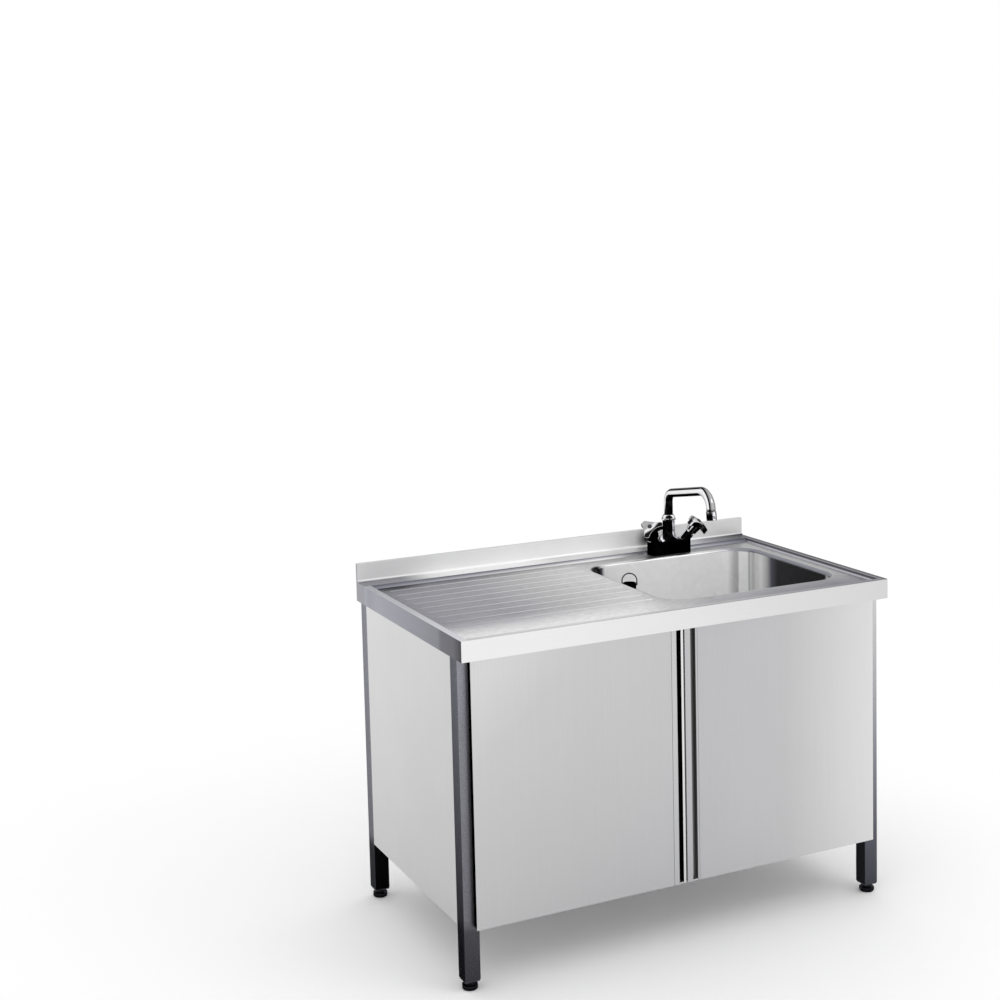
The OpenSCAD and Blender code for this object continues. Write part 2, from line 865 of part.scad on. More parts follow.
module tap_body() {
    color(chrome)
        difference() {
            union() {
                at_tap() {
                    linear_extrude(tap_base_h)
                        rounded_rect(tap_base_w, tap_base_d, tap_corner_r);
                    intersection() {
                        rotate_extrude()
                            column_section();
                        block([-tap_base_w, column_edge - tap_base_d / 2, 0],
                              [tap_base_w, tap_base_d / 2 - column_edge, column_h]);
                    }
                }
                for (side = [0, 1])
                    on_arm(side)
                        rotate([0, 0, arm_seam])
                            translate([0, 0, -arm_sink])
                                cylinder(r = arm_r, h = arm_len + arm_sink);
            }
            translate([tap_x, tap_y, spout_z])
                cylinder(r = spout_r + spout_clear, h = spout_seat + 1);
        }
}

module tap_shank() {
    color(brass)
        translate([tap_x, tap_y, shank_z])
            difference() {
                cylinder(r = shank_r, h = tap_z - shank_z);
                translate([0, 0, -1])
                    cylinder(r = shank_r - shank_t, h = tap_z - shank_z + 2);
            }
}

module tap_washer() {
    color(satin)
        translate([tap_x, tap_y, deck_under - washer_t])
            difference() {
                cylinder(r = washer_r, h = washer_t);
                translate([0, 0, -1])
                    cylinder(r = shank_r, h = washer_t + 2);
            }
}

module tap_backnut() {
    color(brass)
        translate([tap_x, tap_y, deck_under - washer_t - backnut_h])
            difference() {
                cylinder(r = washer_r, h = backnut_h, $fn = 6);
                translate([0, 0, -1])
                    cylinder(r = shank_r, h = backnut_h + 2);
            }
}

module supply_tails() {
    color(brass)
        for (side = [-1, 1])
            translate([tap_x + side * supply_pitch / 2, tap_y, tap_z - supply_len])
                cylinder(r = supply_r, h = supply_len);
}

module collar_nut() {
    color(chrome)
        translate([tap_x, tap_y, column_z])
            difference() {
                union() {
                    cylinder(r = collar_r, h = collar_band_h);
                    translate([0, 0, collar_band_h])
                        cylinder(r1 = collar_r, r2 = collar_top_r, h = collar_h - collar_band_h);
                }
                translate([0, 0, -1])
                    cylinder(r = spout_r + spout_clear, h = collar_h + 2);
            }
}

// Places its children at the end of the spout's riser, +Z along the straight arm
module at_arm_start() {
    translate([0, -bend_r, spout_seat + riser_h])
        rotate([90 - spout_rise, 0, 0])
            translate([0, bend_r, 0])
                children();
}

// Places its children at the end of the second bend, +Z towards the outlet
module at_drop_end() {
    at_arm_start()
        translate([0, -drop_r, spout_run])
            rotate([spout_rise + spout_fall, 0, 0])
                translate([0, drop_r, 0])
                    children();
}

// The tube swells a little at its bends, and its straight stretches end inside them
module spout_solid(r, extra) {
    translate([0, 0, -extra])
        cylinder(r = r, h = spout_seat + riser_h + extra + spout_lap);
    translate([0, -bend_r, spout_seat + riser_h])
        rotate([90, 0, 90])
            rotate_extrude(angle = 90 - spout_rise)
                translate([bend_r, 0])
                    circle(r + spout_swell);
    at_arm_start() {
        translate([0, 0, -spout_lap])
            cylinder(r = r, h = spout_run + 2 * spout_lap);
        translate([0, -drop_r, spout_run])
            rotate([90, 0, 90])
                rotate_extrude(angle = spout_rise + spout_fall)
                    translate([drop_r, 0])
                        circle(r + spout_swell);
    }
    at_drop_end()
        translate([0, 0, -spout_lap])
            cylinder(r = r, h = spout_end + extra + spout_lap);
}

module spout() {
    color(chrome)
        translate([tap_x, tap_y, spout_z])
            difference() {
                spout_solid(spout_r, 0);
                spout_solid(spout_r - spout_t, 1);
            }
}

module outlet_ring() {
    color(chrome)
        translate([tap_x, tap_y, spout_z])
            at_drop_end()
                translate([0, 0, spout_end])
                    difference() {
                        cylinder(r = outlet_r, h = outlet_h);
                        translate([0, 0, -1])
                            cylinder(r = spout_r - spout_t, h = outlet_h + 2);
                    }
}

module bonnet(side) {
    color(chrome)
        on_arm(side)
            translate([0, 0, arm_len])
                difference() {
                    cylinder(r = bonnet_r, h = bonnet_len);
                    translate([0, 0, bonnet_len - spindle_seat])
                        cylinder(r = spindle_r + spindle_clear, h = spindle_seat + 1);
                }
}

module spindle(side) {
    color(brass)
        on_arm(side)
            translate([0, 0, bonnet_z - spindle_seat])
                cylinder(r = spindle_r, h = spindle_seat + head_gap + spindle_grip);
}

module handle_outline() {
    difference() {
        circle(head_r);
        for (i = [0 : 2])
            rotate([0, 0, hollow_turn + 120 * i])
                translate([waist_r + hollow_r, 0])
                    circle(hollow_r);
    }
}

module handle(side) {
    color(chrome)
        on_arm(side)
            difference() {
                union() {
                    translate([0, 0, handle_t])
                        cylinder(r1 = skirt_r, r2 = skirt_top_r, h = head_t - handle_t + eps);
                    translate([0, 0, head_t])
                        linear_extrude(head_h)
                            handle_outline();
                }
                translate([0, 0, handle_t - 1])
                    cylinder(r = bonnet_r + skirt_clear, h = bonnet_z + skirt_clear - handle_t + 1);
                translate([0, 0, handle_t])
                    cylinder(r = spindle_r, h = head_t + spindle_grip - handle_t);
            }
}

module disc(side) {
    color(satin)
        on_arm(side)
            translate([0, 0, disc_z])
                cylinder(r = disc_r, h = disc_t);
}

module left_bonnet() {
    bonnet(1);
}

module right_bonnet() {
    bonnet(0);
}

module left_spindle() {
    spindle(1);
}

module right_spindle() {
    spindle(0);
}

module left_handle() {
    handle(1);
}

module right_handle() {
    handle(0);
}

module left_disc() {
    disc(1);
}

module right_disc() {
    disc(0);
}

// Frame
// Places a leg: sx is 0 for the right and 1 for the left, y is the middle of the leg
module at_leg(sx, y) {
    mirror([sx, 0, 0])
        translate([leg_x - leg_w / 2, y, 0])
            children();
}

module leg(sx, y) {
    color(shade)
        at_leg(sx, y)
            translate([0, 0, leg_z])
                difference() {
                    linear_extrude(deck_under - leg_z)
                        rounded_rect(leg_w, leg_w, leg_r);
                    translate([0, 0, -1])
                        linear_extrude(deck_under - leg_z + 2)
                            square(leg_w - 2 * leg_t, center = true);
                }
}

module leg_plugs() {
    color(black)
        for (sx = [0, 1], y = [front_y, back_y])
            at_leg(sx, y)
                difference() {
                    union() {
                        translate([0, 0, leg_z - plug_flange_t])
                            linear_extrude(plug_flange_t)
                                square(leg_w - 2 * plug_margin, center = true);
                        translate([0, 0, leg_z - eps])
                            linear_extrude(plug_depth)
                                square(leg_w - 2 * leg_t, center = true);
                    }
                    translate([0, 0, leg_z - plug_flange_t - 1])
                        cylinder(r = foot_spindle_r + foot_clear, h = plug_depth + plug_flange_t + 2);
                }
}

module foot(sx, y) {
    color(satin)
        at_leg(sx, y) {
            cylinder(r = foot_r - foot_bevel, h = foot_bevel);
            translate([0, 0, foot_bevel])
                cylinder(r = foot_r, h = foot_h - foot_bevel, $fn = 8);
            translate([0, 0, foot_h])
                cylinder(r = foot_hex_r, h = foot_hex_h, $fn = 6);
            translate([0, 0, foot_h])
                cylinder(r = foot_spindle_r, h = foot_spindle_h);
        }
}

module top_long_rails() {
    color(satin) {
        tube_x([-inner_x, leg_front_y, rail_z], [inner_x, leg_front_y + rail_d, deck_under], rail_t);
        tube_x([-inner_x, leg_back_y - leg_w, rail_z], [inner_x, leg_back_y - panel_t, deck_under], rail_t);
    }
}

module top_side_rails() {
    color(satin)
        for (sx = [0, 1])
            mirror([sx, 0, 0])
                tube_y([inner_x, leg_front_y + leg_w, rail_z],
                       [panel_x, leg_back_y - leg_w, deck_under], rail_t);
}

module lower_long_rails() {
    color(satin) {
        tube_x([-inner_x, leg_front_y, case_z], [inner_x, leg_front_y + rail_d, shelf_z], rail_t);
        tube_x([-inner_x, leg_back_y - leg_w, case_z], [inner_x, leg_back_y - panel_t, shelf_z], rail_t);
    }
}

module lower_side_rails() {
    color(satin)
        for (sx = [0, 1])
            mirror([sx, 0, 0])
                tube_y([inner_x, leg_front_y + leg_w, case_z],
                       [panel_x, leg_back_y - leg_w, shelf_z], rail_t);
}

module side_panel(sx) {
    low = [panel_x, leg_front_y + leg_w, case_z];
    high = [leg_x, leg_back_y - leg_w, deck_under];
    color(steel)
        mirror([sx, 0, 0])
            difference() {
                block(low, high);
                block(low + [-1, panel_sheet, panel_sheet], high - [panel_sheet, panel_sheet, panel_sheet]);
            }
}

module left_side_panel() {
    side_panel(1);
}

module right_side_panel() {
    side_panel(0);
}

module back_panel() {
    low = [-inner_x, leg_back_y - panel_t, case_z];
    high = [inner_x, leg_back_y, deck_under];
    color(steel)
        difference() {
            block(low, high);
            block(low + [panel_sheet, -1, panel_sheet], high - [panel_sheet, panel_sheet, panel_sheet]);
            block([service_x - service_w / 2, leg_back_y - panel_t, service_z],
                  [service_x + service_w / 2, leg_back_y + 1, service_z + service_h]);
        }
}

module back_rivets() {
    color(satin)
        for (i = [0 : rivet_count - 1], z = [case_z + low_rail_h / 2, deck_under - rail_h / 2])
            translate([(2 * i + 1 - rivet_count) * inner_x / rivet_count, leg_back_y, z])
                rotate([-90, 0, 0])
                    cylinder(r1 = rivet_r, r2 = rivet_top_r, h = rivet_h);
}

module bottom_shelf() {
    color(steel)
        difference() {
            block([-panel_x, leg_front_y, shelf_z], [panel_x, leg_back_y - panel_t, shelf_z + shelf_t]);
            for (sx = [0, 1], y = [leg_front_y - 1, leg_back_y - leg_w])
                mirror([sx, 0, 0])
                    block([inner_x, y, shelf_z - 1], [leg_x, y + leg_w + 1, shelf_z + shelf_t + 1]);
        }
}

module hinge_tongues() {
    color(satin)
        for (sx = [0, 1], top = [0, 1])
            mirror([sx, 0, 0])
                translate([pin_x, pin_y, top ? door_top - tongue_in - tongue_t : case_z + tongue_in])
                    difference() {
                        union() {
                            cylinder(r = tongue_w / 2, h = tongue_t);
                            block([-tongue_w / 2, 0, 0], [tongue_w / 2, leg_front_y - pin_y, tongue_t]);
                        }
                        translate([0, 0, -1])
                            cylinder(r = pin_r + pin_clear, h = tongue_t + 2);
                    }
}

module magnetic_catches() {
    face = door_back + strike_t + catch_gap;
    color(black)
        for (side = [-1, 1])
            translate([side * catch_side, 0, 0])
                block([-catch_w / 2, face, rail_z - catch_h], [catch_w / 2, face + catch_d, rail_z]);
}

// Doors are drawn as the right door, its outer edge at the right, and mirrored for the left
module door_skin(grip_w) {
    low = [door_split / 2 + grip_w + seam, door_face, case_z];
    high = [door_x, door_back, door_top];
    difference() {
        block(low, high);
        block(low + [skin_t, skin_t, skin_t], high + [-skin_t, 1, -skin_t]);
        block([low[0] - 1, door_back - skin_t, case_z + skin_t], high + [-skin_t, 1, -skin_t]);
        hinge_notches();
    }
}

module hinge_notches() {
    for (z = [case_z - 1, door_top - notch_h])
        block([door_x - notch_w, door_face + skin_t, z], [door_x + 1, door_back + 1, z + notch_h + 1]);
}

module door_back_sheet() {
    low = [door_split / 2 + skin_t, door_back - skin_t, case_z + skin_t];
    high = [door_x - skin_t, door_back, door_top - skin_t];
    difference() {
        block(low, high);
        hinge_notches();
    }
}

// Cross-section of a grip: x from the meeting edge, y from the face backwards
module grip_section(lip, recess, strip) {
    grip_w = lip + recess + strip;
    depth = door_t - skin_t;
    square([skin_t, door_t]);
    square([lip, skin_t]);
    translate([lip - skin_t, 0])
        square([skin_t, depth]);
    translate([lip - skin_t, depth - skin_t])
        square([recess + 2 * skin_t, skin_t]);
    translate([lip + recess, 0])
        square([skin_t, depth]);
    translate([lip + recess, 0])
        square([strip, skin_t]);
    translate([grip_w - skin_t, 0])
        square([skin_t, depth]);
}

module grip(lip, recess, strip) {
    translate([door_split / 2, door_face, case_z])
        linear_extrude(door_h)
            grip_section(lip, recess, strip);
}

// Wedge that closes a grip recess, its slanted face falling towards the front
module grip_cap(lip, recess) {
    translate([door_split / 2 + lip, door_face, 0])
        rotate([90, 0, 90])
            linear_extrude(recess)
                polygon([
                    [skin_t, 0], [door_t - 2 * skin_t, 0],
                    [door_t - 2 * skin_t, cap_h], [skin_t, cap_h - cap_fall]
                ]);
}

module grip_caps(lip, recess) {
    translate([0, 0, case_z])
        grip_cap(lip, recess);
    translate([0, 0, door_top])
        mirror([0, 0, 1])
            grip_cap(lip, recess);
}

module hinge_pins() {
    for (top = [0, 1])
        translate([0, 0, top ? door_top + case_z : 0])
            mirror([0, 0, top]) {
                block([door_x - notch_w, door_face + skin_t, case_z + notch_h],
                      [door_x - skin_t, door_back - skin_t, case_z + notch_h + pin_block_h]);
                translate([pin_x, pin_y, case_z + tongue_in + tongue_t + shoulder_gap])
                    cylinder(r = shoulder_r, h = notch_h - tongue_in - tongue_t - shoulder_gap + eps);
                translate([pin_x, pin_y, case_z + tongue_in / 2])
                    cylinder(r = pin_r, h = notch_h);
            }
}

module strike() {
    translate([catch_side, 0, 0])
        block([-catch_w / 2, door_back, rail_z - catch_h],
              [catch_w / 2, door_back + strike_t, rail_z - catch_h + strike_h]);
}

module left_door_skin() {
    color(steel)
        mirror([1, 0, 0])
            door_skin(left_grip_w);
}

module right_door_skin() {
    color(steel)
        door_skin(right_grip_w);
}

module left_door_back() {
    color(satin)
        mirror([1, 0, 0])
            door_back_sheet();
}

module right_door_back() {
    color(satin)
        door_back_sheet();
}

module left_grip() {
    color(satin)
        mirror([1, 0, 0])
            grip(left_lip, left_recess, left_strip);
}

module right_grip() {
    color(satin)
        grip(right_lip, right_recess, right_strip);
}

module left_grip_caps() {
    color(black)
        mirror([1, 0, 0])
            grip_caps(left_lip, left_recess);
}

module right_grip_caps() {
    color(black)
        grip_caps(right_lip, right_recess);
}

module left_hinge_pins() {
    color(chrome)
        mirror([1, 0, 0])
            hinge_pins();
}

module right_hinge_pins() {
    color(chrome)
        hinge_pins();
}

module left_strike() {
    color(satin)
        mirror([1, 0, 0])
            strike();
}

module right_strike() {
    color(satin)
        strike();
}

worktop();
worktop_stiffeners();
bowl();
bowl_damping_sheet();
drain_flange();
drain_ring();
drain_backnut();
drain_tail();
standpipe();
standpipe_plug();
standpipe_bail();
tap_gasket();
tap_body();
tap_shank();
tap_washer();
tap_backnut();
supply_tails();
collar_nut();
spout();
outlet_ring();
left_bonnet();
right_bonnet();
left_spindle();
right_spindle();
left_handle();
right_handle();
left_disc();
right_disc();
leg(1, front_y);  // front_left_leg
leg(0, front_y);  // front_right_leg
leg(1, back_y);  // back_left_leg
leg(0, back_y);  // back_right_leg
leg_plugs();
foot(1, front_y);  // front_left_foot
foot(0, front_y);  // front_right_foot
foot(1, back_y);  // back_left_foot
foot(0, back_y);  // back_right_foot
top_long_rails();
top_side_rails();
lower_long_rails();
lower_side_rails();
left_side_panel();
right_side_panel();
back_panel();
back_rivets();
bottom_shelf();
hinge_tongues();
magnetic_catches();
left_door_skin();
left_door_back();
left_grip();
left_grip_caps();
left_hinge_pins();
left_strike();
right_door_skin();
right_door_back();
right_grip();
right_grip_caps();
right_hinge_pins();
right_strike();
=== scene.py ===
# %% [markdown]
# # A steel sink cabinet, dressed for its picture
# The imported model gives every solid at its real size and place. This script
# gives those solids their looks: edges that catch the light, brushed and
# polished steel, and the rounded castings of the tap. Everything is in metres,
# +Z is up, the front faces -Y, and the origin is on the floor under the worktop.

import json
import math

import bmesh
import bpy
from mathutils import Matrix, Vector


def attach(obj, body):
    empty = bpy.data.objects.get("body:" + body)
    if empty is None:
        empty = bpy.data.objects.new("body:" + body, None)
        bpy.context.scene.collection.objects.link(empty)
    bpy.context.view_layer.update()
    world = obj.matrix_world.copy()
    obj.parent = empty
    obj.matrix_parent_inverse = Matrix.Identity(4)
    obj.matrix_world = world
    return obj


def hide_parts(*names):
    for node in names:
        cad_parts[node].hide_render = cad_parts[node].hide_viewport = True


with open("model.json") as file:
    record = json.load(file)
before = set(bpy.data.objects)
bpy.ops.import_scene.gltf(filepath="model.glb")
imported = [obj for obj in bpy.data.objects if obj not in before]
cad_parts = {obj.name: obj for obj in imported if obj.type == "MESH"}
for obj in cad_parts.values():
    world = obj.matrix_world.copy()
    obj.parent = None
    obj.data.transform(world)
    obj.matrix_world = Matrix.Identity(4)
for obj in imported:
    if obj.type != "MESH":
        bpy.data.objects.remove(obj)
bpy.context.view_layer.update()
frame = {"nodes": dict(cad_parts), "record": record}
mm = 0.001

# %% [markdown]
# The camera stands to the left, a little above the worktop, and looks almost
# level, as for a product picture. Its place was worked out from the corners of
# the worktop, the doors and the legs. A small lens shift puts the cabinet where
# the picture has it.

# %% The camera
camera_place = Vector((-2.0215, -3.7123, 1.8246))
camera_azimuth = math.radians(25.947)
camera_pitch = math.radians(-5.647)
camera_roll = math.radians(-1.286)
focal_px = 1644.9
centre_px = (540, 370)
picture_px = 1000
sensor_mm = 36


def camera_axes(azimuth, pitch, roll):
    level = math.cos(pitch)
    ahead = Vector((math.sin(azimuth) * level, math.cos(azimuth) * level, math.sin(pitch)))
    side = ahead.cross(Vector((0, 0, 1))).normalized()
    up = side.cross(ahead)
    right = math.cos(roll) * side + math.sin(roll) * up
    return right, up * math.cos(roll) - side * math.sin(roll), ahead


right, up, ahead = camera_axes(camera_azimuth, camera_pitch, camera_roll)
camera_turn = Matrix((right, up, -ahead)).transposed().to_4x4()
camera_data = bpy.data.cameras.new("camera")
camera = bpy.data.objects.new("camera", camera_data)
bpy.context.collection.objects.link(camera)
camera.matrix_world = Matrix.Translation(camera_place) @ camera_turn
camera_data.sensor_width = sensor_mm
camera_data.lens = focal_px / picture_px * sensor_mm
camera_data.shift_x = (picture_px / 2 - centre_px[0]) / picture_px
camera_data.shift_y = (centre_px[1] - picture_px / 2) / picture_px
bpy.context.scene.camera = camera
bpy.context.scene.view_settings.view_transform = "Standard"
print("lens", round(camera_data.lens, 1), "mm")

# %% [markdown]
# A white floor catches the soft shadow, and the world round it is white too, so
# the picture has no horizon. Metal mirrors whatever is round it, so in this
# white room a sheet of steel shows the tone that its finish is given. One lamp
# from the front right adds a little direction.


# %% Small helpers for nodes
def link(tree, out_socket, in_socket):
    tree.links.new(out_socket, in_socket)


def new_node(tree, kind, **values):
    node = tree.nodes.new(kind)
    for name, value in values.items():
        setattr(node, name, value)
    return node


# %% The floor
floor_size = 40.0
floor_drop = 0.0002


def white_floor():
    material = bpy.data.materials.new("white_floor")
    material.use_nodes = True
    bsdf = material.node_tree.nodes["Principled BSDF"]
    bsdf.inputs["Base Color"].default_value = (1, 1, 1, 1)
    bsdf.inputs["Roughness"].default_value = 1.0
    bsdf.inputs["Specular IOR Level"].default_value = 0.0
    bm = bmesh.new()
    bmesh.ops.create_grid(bm, x_segments=1, y_segments=1, size=floor_size / 2)
    bmesh.ops.translate(bm, verts=bm.verts, vec=(0, 0, -floor_drop))
    mesh = bpy.data.meshes.new("floor")
    bm.to_mesh(mesh)
    bm.free()
    mesh.materials.append(material)
    floor = bpy.data.objects.new("floor", mesh)
    bpy.context.collection.objects.link(floor)


white_floor()
print("floor:", floor_size, "m")


# %% The world and the lamp
def white_world():
    world = bpy.data.worlds.new("studio")
    bpy.context.scene.world = world
    world.use_nodes = True
    background = world.node_tree.nodes["Background"]
    background.inputs["Color"].default_value = (1, 1, 1, 1)
    background.inputs["Strength"].default_value = 1.0


def soft_lamp(name, place, aim, size, watts):
    data = bpy.data.lights.new(name, "AREA")
    data.shape = "RECTANGLE"
    data.size, data.size_y = size
    data.energy = watts
    lamp = bpy.data.objects.new(name, data)
    lamp.location = place
    lamp.rotation_euler = (Vector(aim) - Vector(place)).to_track_quat("-Z", "Y").to_euler()
    bpy.context.collection.objects.link(lamp)


white_world()
soft_lamp("key", place=(1.8, -2.6, 3.4), aim=(0, 0, 0.6), size=(1.6, 1.2), watts=12)

# %% [markdown]
# Four shader groups are shared by the finishes. "Brushing" gives the fine lines
# that a polishing belt leaves, as noise stretched along the sheet, and larger
# smudges. "Fade" runs from 0 to 1 along a line through the cabinet, so that one
# sheet can be painted light at one end and darker at the other, as painted
# reflection and shade. "Facing" says how far a surface faces a given way, which
# the painted reflection bands of a bent or round piece need. "Near" is a soft
# spot round a place, for a painted reflection of the tap in the sheet behind it
# and a painted shade spot on the deck.


# %% The group for brushed lines
def new_group(name, inputs, outputs):
    group = bpy.data.node_groups.new(name, "ShaderNodeTree")
    for socket_name, kind, value in inputs:
        socket = group.interface.new_socket(socket_name, in_out="INPUT", socket_type=kind)
        socket.default_value = value
    for socket_name, kind in outputs:
        group.interface.new_socket(socket_name, in_out="OUTPUT", socket_type=kind)
    return group, group.nodes.new("NodeGroupInput"), group.nodes.new("NodeGroupOutput")


def brushing_group():
    group, start, end = new_group(
        "Brushing",
        [("Lines", "NodeSocketVector", (4, 900, 900)), ("Smudge Size", "NodeSocketFloat", 5.0)],
        [("Line", "NodeSocketFloat"), ("Smudge", "NodeSocketFloat")],
    )
    place = group.nodes.new("ShaderNodeTexCoord")
    stretch = new_node(group, "ShaderNodeVectorMath", operation="MULTIPLY")
    link(group, place.outputs["Object"], stretch.inputs[0])
    link(group, start.outputs["Lines"], stretch.inputs[1])
    noise = new_node(group, "ShaderNodeTexNoise")
    noise.inputs["Scale"].default_value = 1.0
    noise.inputs["Detail"].default_value = 4.0
    link(group, stretch.outputs["Vector"], noise.inputs["Vector"])
    link(group, noise.outputs["Fac"], end.inputs["Line"])
    smudge = new_node(group, "ShaderNodeTexNoise")
    smudge.inputs["Detail"].default_value = 2.0
    link(group, place.outputs["Object"], smudge.inputs["Vector"])
    link(group, start.outputs["Smudge Size"], smudge.inputs["Scale"])
    link(group, smudge.outputs["Fac"], end.inputs["Smudge"])
    return group


brushing = brushing_group()
print("group:", brushing.name)


# %% The groups for fading, facing and soft spots
def fade_group():
    group, start, end = new_group(
        "Fade",
        [("From", "NodeSocketVector", (0, 0, 0)), ("Step", "NodeSocketVector", (1, 0, 0))],
        [("Fade", "NodeSocketFloat")],
    )
    place = group.nodes.new("ShaderNodeTexCoord")
    away = new_node(group, "ShaderNodeVectorMath", operation="SUBTRACT")
    link(group, place.outputs["Object"], away.inputs[0])
    link(group, start.outputs["From"], away.inputs[1])
    along = new_node(group, "ShaderNodeVectorMath", operation="DOT_PRODUCT")
    link(group, away.outputs["Vector"], along.inputs[0])
    link(group, start.outputs["Step"], along.inputs[1])
    kept = new_node(group, "ShaderNodeClamp")
    link(group, along.outputs["Value"], kept.inputs["Value"])
    link(group, kept.outputs["Result"], end.inputs["Fade"])
    return group


def facing_group():
    group, start, end = new_group(
        "Facing",
        [("Way", "NodeSocketVector", (0, 0, 1))],
        [("Facing", "NodeSocketFloat")],
    )
    surface = group.nodes.new("ShaderNodeTexCoord")
    toward = new_node(group, "ShaderNodeVectorMath", operation="DOT_PRODUCT")
    link(group, surface.outputs["Normal"], toward.inputs[0])
    link(group, start.outputs["Way"], toward.inputs[1])
    spread = new_node(group, "ShaderNodeMapRange")
    spread.inputs["From Min"].default_value = -1.0
    link(group, toward.outputs["Value"], spread.inputs["Value"])
    link(group, spread.outputs["Result"], end.inputs["Facing"])
    return group


def near_group():
    group, start, end = new_group(
        "Near",
        [("Place", "NodeSocketVector", (0, 0, 0)), ("Radius", "NodeSocketFloat", 0.05)],
        [("Near", "NodeSocketFloat")],
    )
    place = group.nodes.new("ShaderNodeTexCoord")
    away = new_node(group, "ShaderNodeVectorMath", operation="DISTANCE")
    link(group, place.outputs["Object"], away.inputs[0])
    link(group, start.outputs["Place"], away.inputs[1])
    spot = new_node(group, "ShaderNodeMapRange", interpolation_type="SMOOTHSTEP")
    spot.inputs["To Min"].default_value = 1.0
    spot.inputs["To Max"].default_value = 0.0
    link(group, away.outputs["Value"], spot.inputs["Value"])
    link(group, start.outputs["Radius"], spot.inputs["From Max"])
    link(group, spot.outputs["Result"], end.inputs["Near"])
    return group


fade = fade_group()
facing = facing_group()
near = near_group()
print("groups:", [g.name for g in bpy.data.node_groups])

# %% [markdown]
# A finish is built from a few steps, each a small helper: a ramp of tones along
# a fade or a facing, which paints reflection and shade into the colour, the
# brushed lines over it, and an uneven roughness. Tones are written as the grey
# levels from 0 to 255 that one reads off a picture, and turned into linear colour
# here. The darker painted tones get a cooler tint than the light ones.
# The edge value sets how bright a finish turns where one looks along it.

# %% Helpers for tones
warmest_blue = 0.998
coolest_gain = 0.25
cool_below = 0.78
cool_rise = 0.6


def grey(level, tint=(1.0, 1.0, 1.01)):
    # the standard curve of a picture, from its levels to linear light
    v = level / 255
    v = v / 12.92 if v <= 0.04045 else ((v + 0.055) / 1.055) ** 2.4
    return (*[min(1.0, v * t) for t in tint], 1)


def cool_tint(level):
    shade = max(0.0, cool_below - level / 255)
    return (1.0, 1.0, warmest_blue + min(coolest_gain, cool_rise * shade))


def tone_ramp(tree, factor, tones, tint=None):
    node = tree.nodes.new("ShaderNodeValToRGB")
    marks = node.color_ramp.elements
    for mark, (position, level) in ((marks[0], tones[0]), (marks[1], tones[-1])):
        mark.position = position
        mark.color = grey(level, tint or cool_tint(level))
    for position, level in tones[1:-1]:
        marks.new(position).color = grey(level, tint or cool_tint(level))
    link(tree, factor, node.inputs["Fac"])
    return node.outputs["Color"]


print("a grey of 200 is", round(grey(200)[0], 3), "in linear colour")


# %% Helpers for finishes
def new_finish(name, metallic=1.0, edge=1.0):
    material = bpy.data.materials.new(name)
    material.use_nodes = True
    tree = material.node_tree
    bsdf = tree.nodes["Principled BSDF"]
    bsdf.inputs["Metallic"].default_value = metallic
    bsdf.inputs["Specular Tint"].default_value = (edge, edge, edge, 1)
    return material, tree, bsdf


def add_group(tree, group):
    node = tree.nodes.new("ShaderNodeGroup")
    node.node_tree = group
    return node


def fade_between(tree, span):
    start, stop = span
    run = Vector(stop) - Vector(start)
    node = add_group(tree, fade)
    node.inputs["From"].default_value = start
    node.inputs["Step"].default_value = run / run.length_squared
    return node.outputs["Fade"]


def facing_way(tree, way):
    node = add_group(tree, facing)
    node.inputs["Way"].default_value = Vector(way).normalized()
    return node.outputs["Facing"]


def step_up(tree, factor, low, high):
    node = new_node(tree, "ShaderNodeMapRange", interpolation_type="SMOOTHSTEP")
    node.inputs["From Min"].default_value = low
    node.inputs["From Max"].default_value = high
    link(tree, factor, node.inputs["Value"])
    return node.outputs["Result"]


def both(tree, first, second):
    node = new_node(tree, "ShaderNodeMath", operation="MULTIPLY")
    link(tree, first, node.inputs[0])
    link(tree, second, node.inputs[1])
    return node.outputs["Value"]


def mixed(tree, factor, first, second):
    node = new_node(tree, "ShaderNodeMix", data_type="RGBA")
    link(tree, factor, node.inputs["Factor"])
    link(tree, first, node.inputs["A"])
    link(tree, second, node.inputs["B"])
    return node.outputs["Result"]


# paints a soft dark spot round a place: a painted reflection of the tap on the upstand, and a painted shade
# on the deck
def painted_dark_spot(tree, colour, place, radius, level):
    spot = add_group(tree, near)
    spot.inputs["Place"].default_value = place
    spot.inputs["Radius"].default_value = radius
    node = new_node(tree, "ShaderNodeMix", data_type="RGBA")
    link(tree, spot.outputs["Near"], node.inputs["Factor"])
    link(tree, colour, node.inputs["A"])
    node.inputs["B"].default_value = grey(level)
    return node.outputs["Result"]


print("finish helpers use the groups", fade.name, facing.name, near.name)

# %% The brushed surface
noise_low = 0.3
noise_high = 0.7


def vary(tree, noise, middle, spread):
    node = new_node(tree, "ShaderNodeMapRange")
    node.inputs["From Min"].default_value = noise_low
    node.inputs["From Max"].default_value = noise_high
    node.inputs["To Min"].default_value = middle - spread
    node.inputs["To Max"].default_value = middle + spread
    link(tree, noise, node.inputs["Value"])
    return node.outputs["Result"]


def finish_surface(tree, bsdf, colour, lines, depth, rough, spread=0.04, smudge=5.0):
    belt = add_group(tree, brushing)
    belt.inputs["Lines"].default_value = lines
    belt.inputs["Smudge Size"].default_value = smudge
    lined = new_node(tree, "ShaderNodeVectorMath", operation="SCALE")
    link(tree, colour, lined.inputs[0])
    link(tree, vary(tree, belt.outputs["Line"], 1, depth), lined.inputs["Scale"])
    link(tree, lined.outputs["Vector"], bsdf.inputs["Base Color"])
    link(tree, vary(tree, belt.outputs["Smudge"], rough, spread), bsdf.inputs["Roughness"])


print("noise from", noise_low, "to", noise_high, "is spread over the tone and the roughness")
